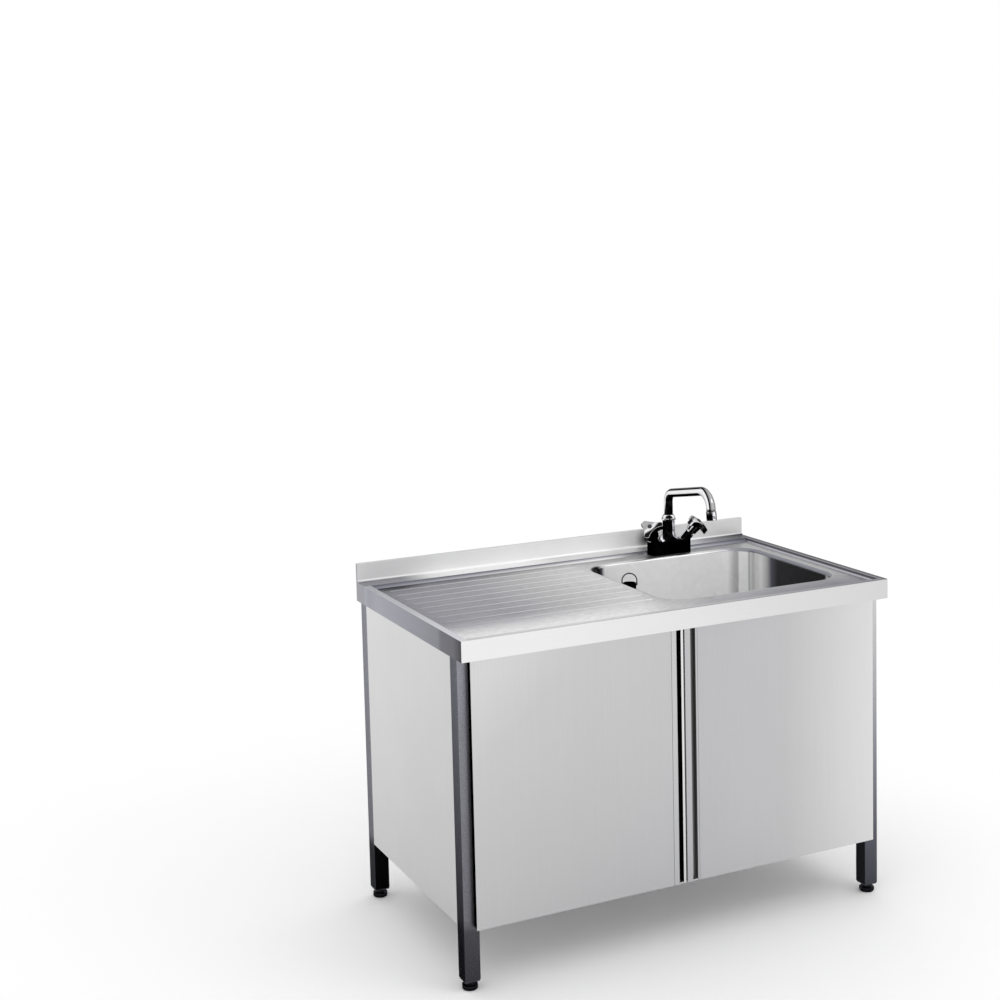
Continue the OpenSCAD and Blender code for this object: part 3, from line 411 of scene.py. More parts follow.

# %% [markdown]
# Satin steel is a metal with a middling roughness. The sheets of the real
# cabinet all have the same finish, and differ only in what they mirror: the
# front is light, the left end of the worktop is dark, and the deck runs from
# grey to light. So each sheet gets its own ramp of tones on one shared recipe,
# and these tones are painted reflection and painted shade.
# A span is the pair of places between which the ramp runs. The lines say how
# fine the noise is along each axis, and the belt ran along the axis with the 4.

# %% The spans and the lines
half_w = 0.600
half_d = 0.350
rim_z = 0.850
deck_z = 0.8405
up_cabinet = ((0, 0, 0), (0, 0, rim_z))
up_leg = ((0, 0, 0), (0, 0, 0.80))
up_door = ((0, 0, 0.15), (0, 0, 0.80))
left_to_right = ((-half_w, 0, 0), (half_w, 0, 0))
front_to_back = ((0, -half_d, 0), (0, half_d, 0))
rim_to_deck = ((0, 0, rim_z), (0, 0, deck_z))
across_lines = (4, 900, 900)
inward_lines = (900, 4, 900)
upright_lines = (900, 900, 4)
deck_lines = (70, 380, 380)
grain = (350, 350, 350)
fine_grain = (400, 400, 400)
bowl_grain = (60, 60, 60)
chrome_grain = (30, 30, 30)
print("the deck lies", round((rim_z - deck_z) / mm, 1), "mm below the rim")


# %% The steel of the panels, doors, legs and rails
def steel(
    name, tones, span, lines=across_lines, depth=0.02, rough=0.34, tint=None, metallic=1.0, edge=1.0
):
    material, tree, bsdf = new_finish(name, metallic, edge)
    colour = tone_ramp(tree, fade_between(tree, span), tones, tint)
    finish_surface(tree, bsdf, colour, lines, depth, rough)
    return material


def leg_steel(name, tones, edge, blue=1.12):
    tint = (1.0, 1.0, blue)
    return steel(name, tones, up_leg, grain, depth=0.25, rough=0.4, tint=tint, edge=edge)


plain_steel = steel("plain_steel", [(0, 190), (1, 200)], up_cabinet)
inner_steel = steel("inner_steel", [(0, 130), (1, 150)], up_cabinet)
# painted reflection: the left door lighter towards its upper left, the right door lighter towards its
# right, the left panel lighter towards the back top
left_door_steel = steel(
    "left_door_steel",
    [(0, 188), (0.6, 195), (0.8, 199), (1, 212)],
    ((-0.05, 0, 0.15), (-0.55, 0, 0.75)),
    upright_lines,
)
right_door_steel = steel(
    "right_door_steel",
    [(0, 187), (0.5, 191), (1, 218)],
    ((0.02, 0, 0.7), (0.57, 0, 0.7)),
    upright_lines,
)
left_panel_steel = steel(
    "left_panel_steel",
    [(0, 199), (0.3, 198), (0.5, 202), (1, 215)],
    ((0, -0.30, 0.12), (0, 0.30, 0.80)),
    upright_lines,
)
# painted reflection and shade: each leg darker towards the floor, its front and side toned apart
dark_leg = leg_steel("dark_leg", [(0, 62), (0.18, 76), (0.22, 112), (0.8, 134), (1, 150)], edge=0.4)
back_leg_side = leg_steel("back_leg_side", [(0, 56), (0.18, 66), (0.22, 132), (1, 160)], edge=0.4)
leg_side = leg_steel("leg_side", [(0, 44), (0.18, 52), (0.22, 66), (1, 122)], edge=0.35, blue=1.15)
# dark feet with a painted highlight band halfway up
foot_steel = steel(
    "foot_steel",
    [(0, 22), (0.5, 60), (1, 26)],
    ((0, 0, 0.004), (0, 0, 0.050)),
    grain,
    depth=0.2,
    rough=0.3,
    edge=0.5,
)
# painted shade: the fronts of the back legs are near black
back_leg_shade = leg_steel("back_leg_shade", [(0, 4), (1, 50)], edge=0.2)
right_leg = steel(
    "right_leg", [(0, 68), (0.2, 90), (0.5, 140), (1, 206)], up_leg, grain, depth=0.15, rough=0.4
)
print("sheet finishes:", len(bpy.data.materials))

# %% The steel of the worktop's edges
rim_width = 0.018
# the finishes in this cell are painted reflection and shade along each edge of the worktop
front_apron_steel = steel(
    "front_apron_steel",
    [(0, 236), (0.25, 232), (0.5, 226), (0.75, 217), (1, 212)],
    left_to_right,
)
left_apron_steel = steel(
    "left_apron_steel",
    [(0, 70), (0.07, 112), (0.17, 118), (0.20, 141), (0.50, 160), (0.78, 174), (0.86, 166), (1, 196)],
    front_to_back,
    inward_lines,
    depth=0.05,
    tint=(1.0, 1.0, 1.13),
    edge=0.7,
)
left_rim_steel = steel(
    "left_rim_steel", [(0, 208), (0.5, 172), (1, 184)], front_to_back, tint=(1.0, 1.0, 1.08)
)
# painted highlight and shade lines across the right rim's width
right_rim_steel = steel(
    "right_rim_steel",
    [(0, 165), (0.22, 150), (0.34, 96), (0.80, 84), (0.90, 64), (1, 64)],
    ((half_w - rim_width, 0, 0), (half_w, 0, 0)),
    tint=(1.0, 0.99, 1.12),
    edge=0.7,
)
slope_steel = steel("slope_steel", [(0, 205), (0.5, 195), (1, 178)], left_to_right)
right_slope_steel = steel(
    "right_slope_steel",
    [(0, 100), (0.50, 82), (0.62, 178), (1, 184)],
    rim_to_deck,
    tint=(1.0, 0.99, 1.10),
    edge=0.5,
)
# a painted highlight band along the ledge, and painted shade towards its right end
ledge_steel = steel(
    "ledge_steel",
    [
        (0, 160), (0.10, 168), (0.16, 245), (0.2, 255), (0.40, 255), (0.49, 226), (0.8, 240), (0.9, 165),
        (1, 64),
    ],
    left_to_right,
    edge=0.8,
)
# a painted highlight on the sides of the ribs
rib_highlight = steel("rib_highlight", [(0, 165), (0.5, 196), (1, 218)], ((-0.55, 0, 0), (0, 0, 0)))
print("sheet and worktop finishes:", len(bpy.data.materials))


# %% The steel of the sheets that fade both ways
def two_way_steel(
    name, first, second, span, low, high, lines=across_lines, depth=0.03, edge=0.75, spot=None
):
    material, tree, bsdf = new_finish(name, edge=edge)
    along = fade_between(tree, left_to_right)
    change = step_up(tree, fade_between(tree, span), low, high)
    colour = mixed(tree, change, tone_ramp(tree, along, first), tone_ramp(tree, along, second))
    if spot:
        colour = painted_dark_spot(tree, colour, **spot)
    finish_surface(tree, bsdf, colour, lines, depth, rough=0.36)
    return material


# painted reflection: a light band from the front left to the back middle, darker towards the right, and a
# painted shade spot at the back left
deck_steel = two_way_steel(
    "deck_steel",
    [(0, 245), (0.1, 250), (0.3, 253), (0.45, 246), (0.6, 178), (0.75, 138), (0.9, 124), (1, 146)],
    [
        (0, 122), (0.04, 147), (0.1, 153), (0.2, 160), (0.35, 196), (0.48, 222), (0.6, 206), (0.9, 192),
        (1, 194),
    ],
    ((0, -0.326, 0), (0, 0.281, 0)),
    low=0.0,
    high=0.32,
    lines=deck_lines,
    depth=0.16,
    spot={"place": (-0.52, 0.30, deck_z), "radius": 0.10, "level": 40},
)
# painted reflection and shade along the back slope and the front rim
back_slope_steel = two_way_steel(
    "back_slope_steel",
    [(0, 96), (0.07, 104), (0.28, 110), (0.46, 118), (0.58, 135), (0.8, 112), (0.93, 98), (1, 66)],
    [(0, 125), (0.07, 138), (0.28, 178), (0.46, 200), (0.58, 215), (0.8, 170), (0.93, 126), (1, 90)],
    rim_to_deck,
    low=0.05,
    high=0.95,
)
front_rim_steel = two_way_steel(
    "front_rim_steel",
    [(0, 208), (0.1, 218), (0.3, 228), (0.5, 216), (0.62, 190), (0.75, 166), (1, 128)],
    [(0, 205), (0.2, 190), (0.33, 170), (0.6, 130), (0.85, 100), (1, 80)],
    ((0, -0.342, 0), (0, -half_d, 0)),
    low=0.35,
    high=0.65,
)


def upstand_finish():
    material, tree, bsdf = new_finish("upstand_steel", metallic=0.3)
    # painted reflection in light tones, darker at the right end
    tones = [(0, 228), (0.14, 230), (0.20, 240), (0.42, 243), (0.55, 255), (0.8, 255), (1, 210)]
    colour = tone_ramp(tree, fade_between(tree, left_to_right), tones)
    # a painted reflection of the tap: a soft dark spot on the sheet behind it
    colour = painted_dark_spot(tree, colour, place=(0.276, 0.338, 0.872), radius=0.042, level=60)
    finish_surface(tree, bsdf, colour, across_lines, depth=0.02, rough=0.34)
    return material


upstand_steel = upstand_finish()
print("finishes that fade both ways:", deck_steel.name, back_slope_steel.name, front_rim_steel.name)


# %% The steel of the bowl
def bowl_finish():
    material, tree, bsdf = new_finish("bowl_steel", metallic=0.15, edge=0.5)
    bsdf.inputs["Specular IOR Level"].default_value = 0.2
    # painted reflection and shade by the way the walls face: painted highlight bands by the back right
    # corner, and painted shade where the walls face right
    turned_left = facing_way(tree, (-1, 0, 0))
    wall_tones = [
        (0, 2), (0.30, 4), (0.38, 80), (0.45, 250), (0.60, 253), (0.66, 225), (0.72, 196), (0.79, 184),
        (0.82, 255), (0.93, 255), (0.95, 175), (0.962, 225), (0.978, 195), (1, 190),
    ]
    walls = tone_ramp(tree, turned_left, wall_tones)
    # painted shade on the right wall: light at the back, dark towards the front
    toward_front = fade_between(tree, ((0, 0.157, 0), (0, -0.161, 0)))
    right_tones = [(0, 220), (0.06, 232), (0.14, 190), (0.22, 80), (0.32, 30), (0.6, 22), (1, 12)]
    right_wall = tone_ramp(tree, toward_front, right_tones)
    is_right = step_up(tree, turned_left, low=0.985, high=0.999)
    colour = mixed(tree, is_right, walls, right_wall)
    finish_surface(tree, bsdf, colour, bowl_grain, depth=0.03, rough=0.26)
    return material


def bowl_edge_finish():
    material, tree, bsdf = new_finish("bowl_edge_steel", edge=0.7)
    # a painted highlight along the rolled edge, and painted shade where it faces right at the left end
    along = fade_between(tree, ((0, 0, 0), (0.551, 0, 0)))
    light_tones = [(0, 180), (0.2, 216), (0.7, 218), (0.82, 190), (0.9, 152), (1, 132)]
    light = tone_ramp(tree, along, light_tones)
    dark = tone_ramp(tree, along, [(0, 10), (1, 16)])
    turned_right = step_up(tree, facing_way(tree, (0.95, -0.1, 0.2)), low=0.68, high=0.80)
    at_left = fade_between(tree, ((0.14, 0, 0), (0.10, 0, 0)))
    colour = mixed(tree, both(tree, turned_right, at_left), light, dark)
    finish_surface(tree, bsdf, colour, bowl_grain, depth=0.03, rough=0.3)
    return material


bowl_steel = bowl_finish()
bowl_edge_steel = bowl_edge_finish()
print("finishes:", [m.name for m in bpy.data.materials])

# %% [markdown]
# Chrome on a curved casting shows hard black and white bands: a dark room in
# front, and bright panels beside and above. Here these bands are painted
# reflections: they follow the way that the surface faces, so one ramp over a
# facing paints them. The spout and the castings get different painted bands,
# because the base of the tap is nearly all black.

# %% Helpers for polished finishes
chrome_edge = 0.3
chrome_tint = (1.0, 1.0, 1.02)
casting_tint = (1.0, 1.0, 1.06)
brass_tint = (1.0, 0.80, 0.42)


def polish(tree, bsdf, colour, rough=0.07, spread=0.03):
    finish_surface(tree, bsdf, colour, chrome_grain, 0.05, rough, spread, smudge=25.0)


def polished(name, way, tones, rough=0.07, tint=chrome_tint):
    material, tree, bsdf = new_finish(name, edge=chrome_edge)
    polish(tree, bsdf, tone_ramp(tree, facing_way(tree, way), tones, tint), rough, rough * 0.4)
    return material


print("polished finishes keep", chrome_edge, "of their brightness at the edge")


# %% The chrome of the spout
def tube_chrome_finish():
    material, tree, bsdf = new_finish("tube_chrome", edge=chrome_edge)
    # painted reflection bands on the arm, the bends and the drop, by the way each faces
    arm_bands = [
        (0.0, 8), (0.10, 10), (0.15, 40), (0.18, 12), (0.28, 16), (0.32, 235), (0.5, 252), (0.63, 245),
        (0.66, 16), (0.76, 20), (0.80, 150), (1.0, 190),
    ]
    bend_bands = [
        (0.0, 210), (0.14, 245), (0.24, 250), (0.28, 16), (0.40, 20), (0.46, 150), (0.7, 190), (0.9, 160),
        (0.96, 60), (1.0, 20),
    ]
    drop_bands = [(0.0, 40), (0.06, 12), (0.56, 14), (0.62, 240), (0.84, 252), (0.89, 20), (1.0, 12)]
    over_arm = facing_way(tree, (0.164, 0.669, 0.725))
    across = facing_way(tree, (0.9, -0.44, 0))
    arm = tone_ramp(tree, over_arm, arm_bands, chrome_tint)
    bend = tone_ramp(tree, across, bend_bands, chrome_tint)
    drop = tone_ramp(tree, across, drop_bands, chrome_tint)
    bend_to_drop = fade_between(tree, ((0, 0, 1.012), (0, 0, 0.982)))
    arm_to_bend = fade_between(tree, ((0, 0.090, 0), (0, 0.045, 0)))
    low = step_up(tree, bend_to_drop, low=0.2, high=0.8)
    in_front = step_up(tree, arm_to_bend, low=0.2, high=0.8)
    polish(tree, bsdf, mixed(tree, in_front, arm, mixed(tree, low, bend, drop)))
    return material


tube_chrome = tube_chrome_finish()
print("spout finish:", tube_chrome.name)

# %% The chrome of the collar and the handles
# painted reflection bands on the collar and the handles, by the way they face
collar_chrome = polished(
    "collar_chrome",
    (-0.435, -0.895, 0),
    [(0, 190), (0.55, 205), (0.66, 90), (0.70, 240), (0.86, 245), (0.90, 24), (1, 12)],
)
head_chrome = polished(
    "head_chrome",
    (-0.5, 0.3, 0.8),
    [
        (0.0, 8), (0.3, 10), (0.36, 70), (0.40, 12), (0.54, 16), (0.58, 215), (0.70, 240), (0.74, 30),
        (0.84, 24), (0.865, 235), (0.88, 240), (0.895, 165), (1.0, 195),
    ],
)
print("collar and handle finishes:", collar_chrome.name, head_chrome.name)


# %% The chrome of the casting, the wire and the brass
def cast_chrome_finish():
    material, tree, bsdf = new_finish("cast_chrome", edge=chrome_edge)
    # painted reflection bands: white in the hollows and on the right flank above the base
    hollow_bands = [
        (0.0, 6), (0.2, 8), (0.24, 28), (0.28, 8), (0.58, 10), (0.64, 30), (0.68, 235), (0.78, 250),
        (0.82, 60), (0.86, 20), (0.92, 180), (1.0, 200),
    ]
    flank_bands = [(0.0, 20), (0.40, 30), (0.47, 235), (0.84, 250), (0.90, 60), (1.0, 20)]
    hollows = tone_ramp(tree, facing_way(tree, (0, 0.75, 0.66)), hollow_bands, casting_tint)
    flank = tone_ramp(tree, facing_way(tree, (0, 0, 1)), flank_bands, casting_tint)
    turned_right = step_up(tree, facing_way(tree, (0.97, -0.25, 0)), low=0.66, high=0.72)
    above_base = fade_between(tree, ((0, 0, 0.878), (0, 0, 0.890)))
    on_flank = both(tree, turned_right, step_up(tree, above_base, low=0.3, high=0.8))
    polish(tree, bsdf, mixed(tree, on_flank, hollows, flank))
    return material


cast_chrome = cast_chrome_finish()
wire_steel = steel(
    "wire_steel",
    [(0, 12), (1, 20)],
    ((0, 0, 0.78), (0, 0, 0.86)),
    grain,
    depth=0.2,
    rough=0.3,
    edge=0.2,
)
brass = polished("brass", (0, 0, 1), [(0, 150), (1, 180)], rough=0.25, tint=brass_tint)
print("casting, wire and brass finishes:", cast_chrome.name, wire_steel.name, brass.name)


# %% Rubber and plastic
def dull_black(name, level, rough=0.6):
    material, tree, bsdf = new_finish(name, metallic=0.0)
    colour = tone_ramp(tree, fade_between(tree, up_cabinet), [(0, level), (1, level * 1.1)])
    finish_surface(tree, bsdf, colour, fine_grain, depth=0.2, rough=rough)
    return material


rubber = dull_black("rubber", 34)
plastic = dull_black("plastic", 38, rough=0.45)
print("dull finishes:", rubber.name, plastic.name)

# %% [markdown]
# Every solid first gets the finish of its material slot. Those that show are
# then dressed in the next cells, and the ones inside keep this.

# %% A finish for every solid
finish_of_slot = {
    "worktop_steel": plain_steel,
    "bowl_steel": bowl_steel,
    "door_steel": plain_steel,
    "frame_steel": inner_steel,
    "chrome": tube_chrome,
    "brass": brass,
    "rubber": rubber,
    "black_plastic": plastic,
}
slot_of = {part["node"]: part["material_slot"] for part in frame["record"]["subparts"]}
body_of = {node: body for body, nodes in frame["record"]["behaviour"]["bodies"].items() for node in nodes}
for node, slot in slot_of.items():
    node_object = frame["nodes"][node]
    node_object.data.materials.clear()
    node_object.data.materials.append(finish_of_slot[slot])
print(len(slot_of), "nodes have a finish")

# %% [markdown]
# Folded sheet has no knife edges: each fold and cut edge is a little round, and
# catches a fine line of light. A copy of the solid's mesh is merged and its flat
# parts are joined, and then a live Bevel modifier rounds what is sharp. The
# modifier's hardened normals keep the flat sheet flat. Bevels, and the places by
# which faces are sorted, are in millimetres. A face's normal is 1 long, so its
# part along an axis says how far the face looks that way.

# %% Helpers for dressed pieces
same_place = 0.000001
weld_gap = 0.00001
flat_within = math.radians(0.2)
rounded_from = math.radians(40)
# how far a face looks along an axis
a_little, mostly, squarely, fully = 0.15, 0.7, 0.8, 0.99


def merged(node):
    bm = bmesh.new()
    bm.from_mesh(frame["nodes"][node].data)
    bmesh.ops.remove_doubles(bm, verts=bm.verts, dist=weld_gap)
    bmesh.ops.dissolve_limit(bm, angle_limit=flat_within, verts=bm.verts, edges=bm.edges)
    return bm


def paint(bm, zone_of, zones):
    for face in bm.faces:
        centre = face.calc_center_median() / mm
        face.material_index = zones.index(zone_of(face.normal, centre))


def piece(name, bm, nodes, finishes, bevel=0.4, smooth=35):
    mesh = bpy.data.meshes.new(name)
    bm.to_mesh(mesh)
    bm.free()
    for finish in finishes:
        mesh.materials.append(finish)
    mesh.shade_smooth()
    mesh.set_sharp_from_angle(angle=math.radians(smooth))
    made = bpy.data.objects.new(name, mesh)
    bpy.context.collection.objects.link(made)
    if bevel:
        rounding = made.modifiers.new("rounding", "BEVEL")
        rounding.width = bevel * mm
        rounding.segments = 2
        rounding.limit_method = "ANGLE"
        rounding.angle_limit = rounded_from
        rounding.harden_normals = True
    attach(made, body_of[nodes[0]])
    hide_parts(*nodes)
    print(name, len(mesh.polygons), "faces")
    return made


def dress(name, node, finish, bevel):
    return piece(name, merged(node), [node], [finish], bevel=bevel)


print("folds sharper than", round(math.degrees(rounded_from)), "degrees are rounded")

# %% [markdown]
# The worktop is one pressed and folded sheet. Its faces are sorted by where they
# are and the way they face, after the flat rim is cut apart at its corners, and
# each group of faces gets the same steel with its own painted tones of
# reflection and shade.

# %% The faces of the worktop
rim_top = rim_z / mm
deck_top = deck_z / mm
left_x = -half_w / mm
front_y = -half_d / mm
rim_x, rim_y = 582, -332
ledge_y, upstand_y = 287, 338
slope_x, slope_front_y, slope_back_y = 575, -325, 280
# how far from a level, and from a side, a face may still count as lying in it
flush = 0.2
skin = 1
worktop_zones = {
    "front_apron": front_apron_steel,
    "left_apron": left_apron_steel,
    "left_rim": left_rim_steel,
    "right_rim": right_rim_steel,
    "front_rim": front_rim_steel,
    "slope": slope_steel,
    "right_slope": right_slope_steel,
    "back_slope": back_slope_steel,
    "deck": deck_steel,
    "rib_side": rib_highlight,
    "ledge": ledge_steel,
    "upstand": upstand_steel,
    "other": plain_steel,
}


def worktop_zone(n, c):
    if c.z > rim_top + flush:
        if n.y < -squarely and c.y < upstand_y + skin:
            return "upstand"
        return "ledge" if c.y < upstand_y + skin else "other"
    if n.y < -mostly and c.y < front_y + skin:
        return "front_apron"
    if n.x < -mostly and c.x < left_x + skin:
        return "left_apron"
    if n.z < a_little:
        return "other"
    if c.z > rim_top - flush:
        if c.y > ledge_y:
            return "ledge"
        if c.x < -rim_x:
            return "left_rim"
        return "right_rim" if c.x > rim_x else "front_rim"
    if abs(c.z - deck_top) < flush and n.z > fully:
        return "deck"
    if c.x > slope_x:
        return "right_slope"
    if c.x < -slope_x or c.y < slope_front_y:
        return "slope"
    if c.y > slope_back_y:
        return "back_slope"
    return "rib_side" if n.y < -a_little else "deck"


print("the worktop has", len(worktop_zones), "groups of faces")

# %% The worktop
rim_cuts = [
    ((-rim_x, 0, 0), (1, 0, 0)),
    ((rim_x, 0, 0), (1, 0, 0)),
    ((0, rim_y, 0), (0, 1, 0)),
    ((0, ledge_y, 0), (0, 1, 0)),
]
worktop = merged("worktop")
for place, way in rim_cuts:
    bmesh.ops.bisect_plane(
        worktop,
        geom=worktop.verts[:] + worktop.edges[:] + worktop.faces[:],
        dist=same_place,
        plane_co=Vector(place) * mm,
        plane_no=way,
    )
paint(worktop, worktop_zone, list(worktop_zones))
piece("worktop_sheet", worktop, ["worktop"], worktop_zones.values())

# %% [markdown]
# The bowl is pressed from one sheet, with a rolled edge that meets the deck. The
# rolled edge has a painted highlight all round and painted shade at its left end,
# in a finish of its own; the inside has painted reflection and shade by the way
# its walls face.

# %% The bowl
rolled_drop = 9
rolled_tilt = 0.12


def bowl_zone(n, c):
    return "edge" if c.z > deck_top - rolled_drop and n.z > rolled_tilt else "inside"


bowl = merged("bowl")
paint(bowl, bowl_zone, ["inside", "edge"])
piece("bowl_pressing", bowl, ["bowl"], [bowl_steel, bowl_edge_steel], bevel=0)

# %% [markdown]
# The doors and the side panels are folded sheet. Each gets small round edges and
# its own painted tones of reflection. The grip is a channel along the door's free
# edge. Its floor is painted nearly black on the left door and grey on the right
# one, as shade, so each has a finish of its own. A painted highlight marks the lip
# of the left grip.

# %% The steel of the grips
door_face = -326
recessed_by = 0.6
far_strip_x = -20
outer_edge_x = -500
# painted shade: black in the left grip's channel and on the left door's outer edge
black_shade = steel(
    "black_shade", [(0, 14), (1, 10)], up_door, upright_lines, depth=0.2, rough=0.5, edge=0.2
)
# painted shade, darkening into the right grip's channel
grey_recess = steel(
    "grey_recess",
    [(0, 190), (0.45, 180), (0.70, 105), (1, 70)],
    ((0.018, 0, 0), (0.032, 0, 0)),
    upright_lines,
    depth=0.1,
    rough=0.5,
    tint=(1, 1, 1),
    metallic=0.4,
)
# a painted highlight on the lip of the left grip
highlight_strip = steel("highlight_strip", [(0, 215), (1, 228)], up_door, upright_lines)
grey_strip = steel("grey_strip", [(0, 182), (1, 190)], up_door, upright_lines)
door_strip = steel("door_strip", [(0, 188), (1, 200)], up_door, upright_lines)


def door_zone(n, c):
    return "edge" if n.x < -squarely and c.x < outer_edge_x else "face"


def grip_zone(n, c):
    if c.y > door_face + recessed_by and abs(n.z) < mostly:
        return "recess"
    return "far_strip" if c.x < far_strip_x else "strip"


print("grip finishes:", highlight_strip.name, grey_strip.name, black_shade.name, grey_recess.name)

# %% The doors, their grips and the side panels
door_finish = {"left": left_door_steel, "right": right_door_steel}
panel_finish = {"left": left_panel_steel, "right": plain_steel}
grip_finishes = {
    "left": [highlight_strip, black_shade, door_strip],
    "right": [grey_strip, grey_recess, grey_strip],
}
for side in ("left", "right"):
    door = merged(side + "_door_skin")
    paint(door, door_zone, ["face", "edge"])
    door_finishes = [door_finish[side], black_shade]
    # the left door's outer edge is painted black as shade
    piece(side + "_door_sheet", door, [side + "_door_skin"], door_finishes, bevel=0.5)
    dress(side + "_door_inner_sheet", side + "_door_back", plain_steel, bevel=0.3)
    grip = merged(side + "_grip")
    paint(grip, grip_zone, ["strip", "recess", "far_strip"])
    piece(side + "_grip_profile", grip, [side + "_grip"], grip_finishes[side], bevel=0.3)
    dress(side + "_grip_ends", side + "_grip_caps", door_strip, bevel=0.3)
    dress(side + "_side_sheet", side + "_side_panel", panel_finish[side], bevel=0.4)

# %% [markdown]
# The legs are square tube, and their front and side mirror different things, so
# each leg has a finish for either, with painted reflection and shade that darkens
# towards the floor; the fronts of the back legs are painted near black as shade.
# The rails, the back and the shelf are mostly hidden, and only need round edges.

# %% The legs and the feet
leg_finishes = {
    "front_left": [dark_leg, leg_side],
    "front_right": [right_leg, leg_side],
    "back_left": [back_leg_shade, back_leg_side],
    "back_right": [back_leg_shade, leg_side],
}


def leg_zone(n, c):
    return "side" if abs(n.x) > mostly else "front"


for leg, finishes in leg_finishes.items():
    tube = merged(leg + "_leg")
    paint(tube, leg_zone, ["front", "side"])
    piece(leg + "_tube", tube, [leg + "_leg"], finishes, bevel=1.2)
    dress(leg + "_levelling_foot", leg + "_foot", foot_steel, bevel=0.6)

# %% The rails, the back and the shelf
finish_of_frame = {
    "leg_plugs": plastic,
    "top_long_rails": inner_steel,
    "top_side_rails": inner_steel,
    "lower_long_rails": inner_steel,
    "lower_side_rails": inner_steel,
    "back_panel": plain_steel,
    "back_rivets": inner_steel,
    "bottom_shelf": plain_steel,
}
for node, finish in finish_of_frame.items():
    dress(node + "_dressed", node, finish, bevel=0.3)

# %% [markdown]
# The tap's body is one casting, in which the column and the two arms grow out of
# the base with soft hollows between them. A voxel remesh of the solid, a grid of
# small even faces, is smoothed a few times: that rounds every edge and fills
# every corner a little, as a mould does. The handles are made the same way, and
# their lobes then droop a little, more the further they are from the middle.


# %% A helper for castings
def cast(node, grid_mm, rounds):
    mesh = bpy.data.meshes.new("pattern")
    solid = merged(node)
    solid.to_mesh(mesh)
    solid.free()
    pattern = bpy.data.objects.new("pattern", mesh)
    bpy.context.collection.objects.link(pattern)
    grid = pattern.modifiers.new("grid", "REMESH")
    grid.mode = "VOXEL"
    grid.voxel_size = grid_mm * mm
    bpy.context.view_layer.update()
    evaluated = pattern.evaluated_get(bpy.context.evaluated_depsgraph_get())
    bm = bmesh.new()
    bm.from_mesh(evaluated.to_mesh())
    evaluated.to_mesh_clear()
    bpy.data.objects.remove(pattern)
    bpy.data.meshes.remove(mesh)
    every_axis = {"use_axis_x": True, "use_axis_y": True, "use_axis_z": True}
    for _ in range(rounds):
        bmesh.ops.smooth_vert(bm, verts=bm.verts, factor=0.5, **every_axis)
    return bm


tap_casting = cast("tap_body", grid_mm=1.0, rounds=8)
piece("tap_casting", tap_casting, ["tap_body"], [cast_chrome], bevel=0, smooth=180)

# %% The handles
lobe_r = 36
flat_r = 6
lobe_droop = 7


def crown(bm, joint_name):
    joint = next(j for j in frame["record"]["behaviour"]["joints"] if j["name"] == joint_name)
    foot = Vector(joint["pos_m"])
    way = Vector(joint["axis"]).normalized()
    way = way if way.z > 0 else -way
    for corner in bm.verts:
        place = corner.co - foot
        reach = max(0.0, (place - place.dot(way) * way).length / mm - flat_r)
        corner.co -= way * lobe_droop * mm * (reach / (lobe_r - flat_r)) ** 2


for side in ("left", "right"):
    handle = cast(side + "_handle", grid_mm=0.8, rounds=6)
    crown(handle, side + "_handle_turn")
    piece(side + "_handle_casting", handle, [side + "_handle"], [head_chrome], bevel=0, smooth=180)
    dress(side + "_handle_disc", side + "_disc", plastic, bevel=0.8)

# %% [markdown]
# The spout is bent tube. A circle is drawn out along the riser, spun round each
# bend and drawn out again, so its faces follow the tube. The Solidify modifier
# gives the wall its thickness, which shows at the outlet.

# %% Helpers for the spout
tap = Vector((304.5, 258.5, 842)) * mm
spout_foot, riser = 84 * mm, 64 * mm
first_bend, rise = 28 * mm, math.radians(80)
arm_run = 153 * mm
second_bend, fall = 45 * mm, math.radians(94)
spout_end, tube_r, tube_wall = 8 * mm, 12.5 * mm, 1.5 * mm
round_steps = 48


def draw_out(bm, ring, way):
    drawn = bmesh.ops.extrude_edge_only(bm, edges=ring)["geom"]
    corners = [g for g in drawn if isinstance(g, bmesh.types.BMVert)]
    bmesh.ops.translate(bm, verts=corners, vec=way)
    return [g for g in drawn if isinstance(g, bmesh.types.BMEdge) and g.is_boundary]


def bend_round(bm, ring, centre, angle, steps):
    corners = list({v for e in ring for v in e.verts})
    spun = bmesh.ops.spin(
        bm,
        geom=corners + ring,
        cent=centre,
        axis=(1, 0, 0),
        dvec=(0, 0, 0),
        angle=angle,
        steps=steps,
        use_merge=False,
    )
    return [g for g in spun["geom_last"] if isinstance(g, bmesh.types.BMEdge)]


print("the arm of the spout runs", round(arm_run / mm), "mm")

# %% The spout
tube = bmesh.new()
bmesh.ops.create_circle(tube, cap_ends=False, segments=round_steps, radius=tube_r)
bmesh.ops.translate(tube, verts=tube.verts, vec=tap + Vector((0, 0, spout_foot)))
turn_one = Matrix.Rotation(rise, 3, "X")
turn_two = Matrix.Rotation(rise + fall, 3, "X")
along = tap + Vector((0, 0, spout_foot + riser))
ring = draw_out(tube, tube.edges[:], (0, 0, riser))
centre = along + Vector((0, -first_bend, 0))
ring = bend_round(tube, ring, centre, rise, steps=20)
along = centre + turn_one @ Vector((0, first_bend, 0)) + turn_one @ Vector((0, 0, arm_run))
ring = draw_out(tube, ring, turn_one @ Vector((0, 0, arm_run)))
centre = along + turn_one @ Vector((0, -second_bend, 0))
ring = bend_round(tube, ring, centre, fall, steps=28)
outlet = centre + turn_two @ Vector((0, second_bend, 0)) + turn_two @ Vector((0, 0, spout_end))
draw_out(tube, ring, turn_two @ Vector((0, 0, spout_end)))
bmesh.ops.remove_doubles(tube, verts=tube.verts, dist=same_place)
bmesh.ops.recalc_face_normals(tube, faces=tube.faces)
spout = piece("spout_tube", tube, ["spout"], [tube_chrome], bevel=0, smooth=60)
wall = spout.modifiers.new("wall", "SOLIDIFY")
wall.thickness = tube_wall
wall.offset = -1
print("outlet at", [round(v / mm, 1) for v in outlet])

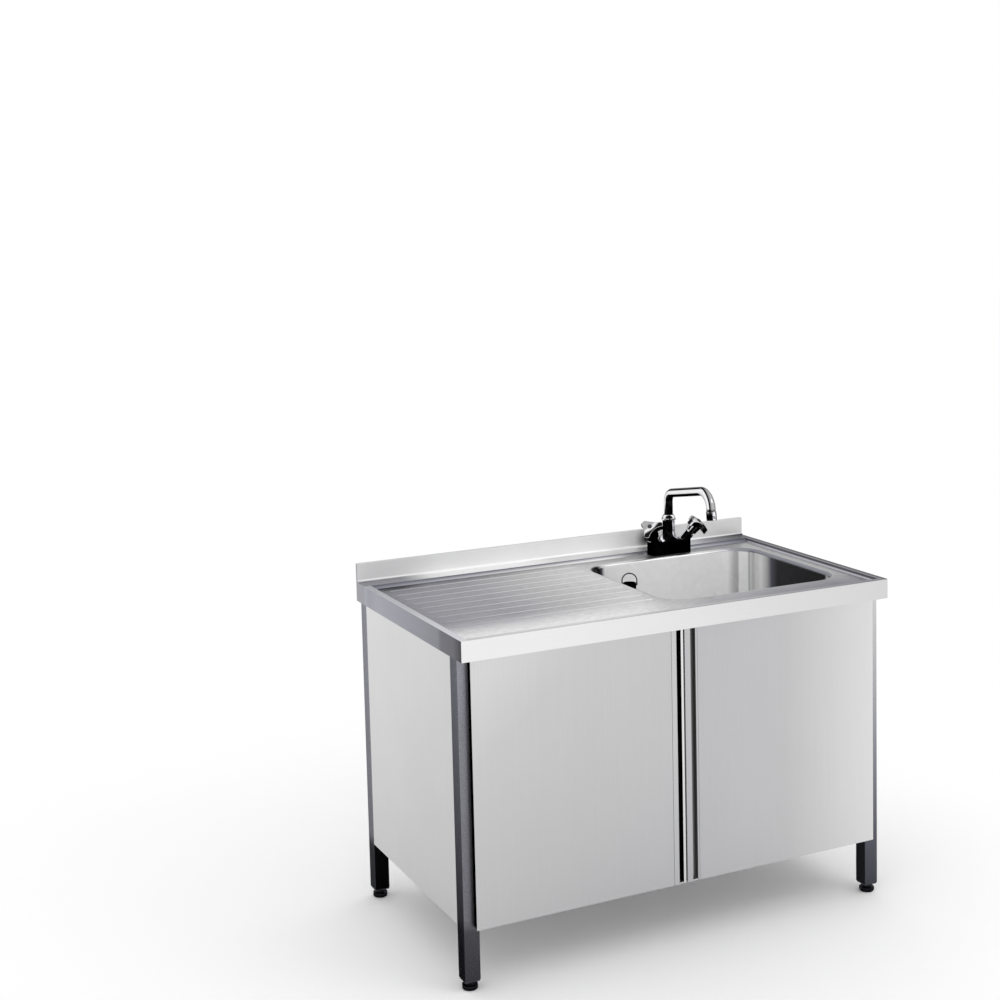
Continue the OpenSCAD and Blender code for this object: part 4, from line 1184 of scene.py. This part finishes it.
# %% [markdown]
# The collar nut and the outlet ring are turned on a lathe. Each is a profile, a
# chain of points given by radius and height in millimetres, spun full circle
# round its axis.


# %% A helper for turned pieces
def turned(profile, place):
    bm = bmesh.new()
    corners = [bm.verts.new((r * mm, 0, z * mm)) for r, z in profile]
    lines = [bm.edges.new(pair) for pair in zip(corners, corners[1:])]
    bmesh.ops.spin(
        bm,
        geom=corners + lines,
        cent=(0, 0, 0),
        axis=(0, 0, 1),
        dvec=(0, 0, 0),
        angle=math.tau,
        steps=round_steps,
        use_merge=True,
    )
    bmesh.ops.remove_doubles(bm, verts=bm.verts, dist=same_place)
    bmesh.ops.recalc_face_normals(bm, faces=bm.faces)
    bmesh.ops.transform(bm, matrix=place, verts=bm.verts)
    return bm


print("turned pieces have", round_steps, "faces round")

# %% The collar nut and the outlet ring
collar_foot = 96 * mm
collar_profile = [
    (12.7, 0), (19.2, 0), (20, 0.8), (20, 4.2), (19.2, 5), (17.6, 5), (17.2, 5.8), (17.8, 6.6), (18.6, 6.8),
    (18.4, 7.6), (15.4, 13.6), (14.4, 14.8), (13.6, 15), (12.7, 15), (12.7, 0),
]
ring_profile = [
    (11, 0), (13.2, 0), (14, 0.8), (14, 19.4), (13.5, 20), (13.9, 21), (13.9, 23.2), (13.2, 24), (11, 24),
    (11, 0),
]
collar = turned(collar_profile, Matrix.Translation(tap + Vector((0, 0, collar_foot))))
piece("collar_nut_turned", collar, ["collar_nut"], [collar_chrome], bevel=0, smooth=40)
outlet_ring = turned(ring_profile, Matrix.Translation(outlet) @ turn_two.to_4x4())
piece("outlet_ring_turned", outlet_ring, ["outlet_ring"], [tube_chrome], bevel=0, smooth=40)

# %% [markdown]
# The standpipe stands in the bowl's corner, a plain tube with a wire bail over
# its mouth. Both keep the forms of their solids.

# %% The standpipe and its bail
dress("bail_wire", "standpipe_bail", wire_steel, bevel=0)
dress("standpipe_tube", "standpipe", cast_chrome, bevel=0.3)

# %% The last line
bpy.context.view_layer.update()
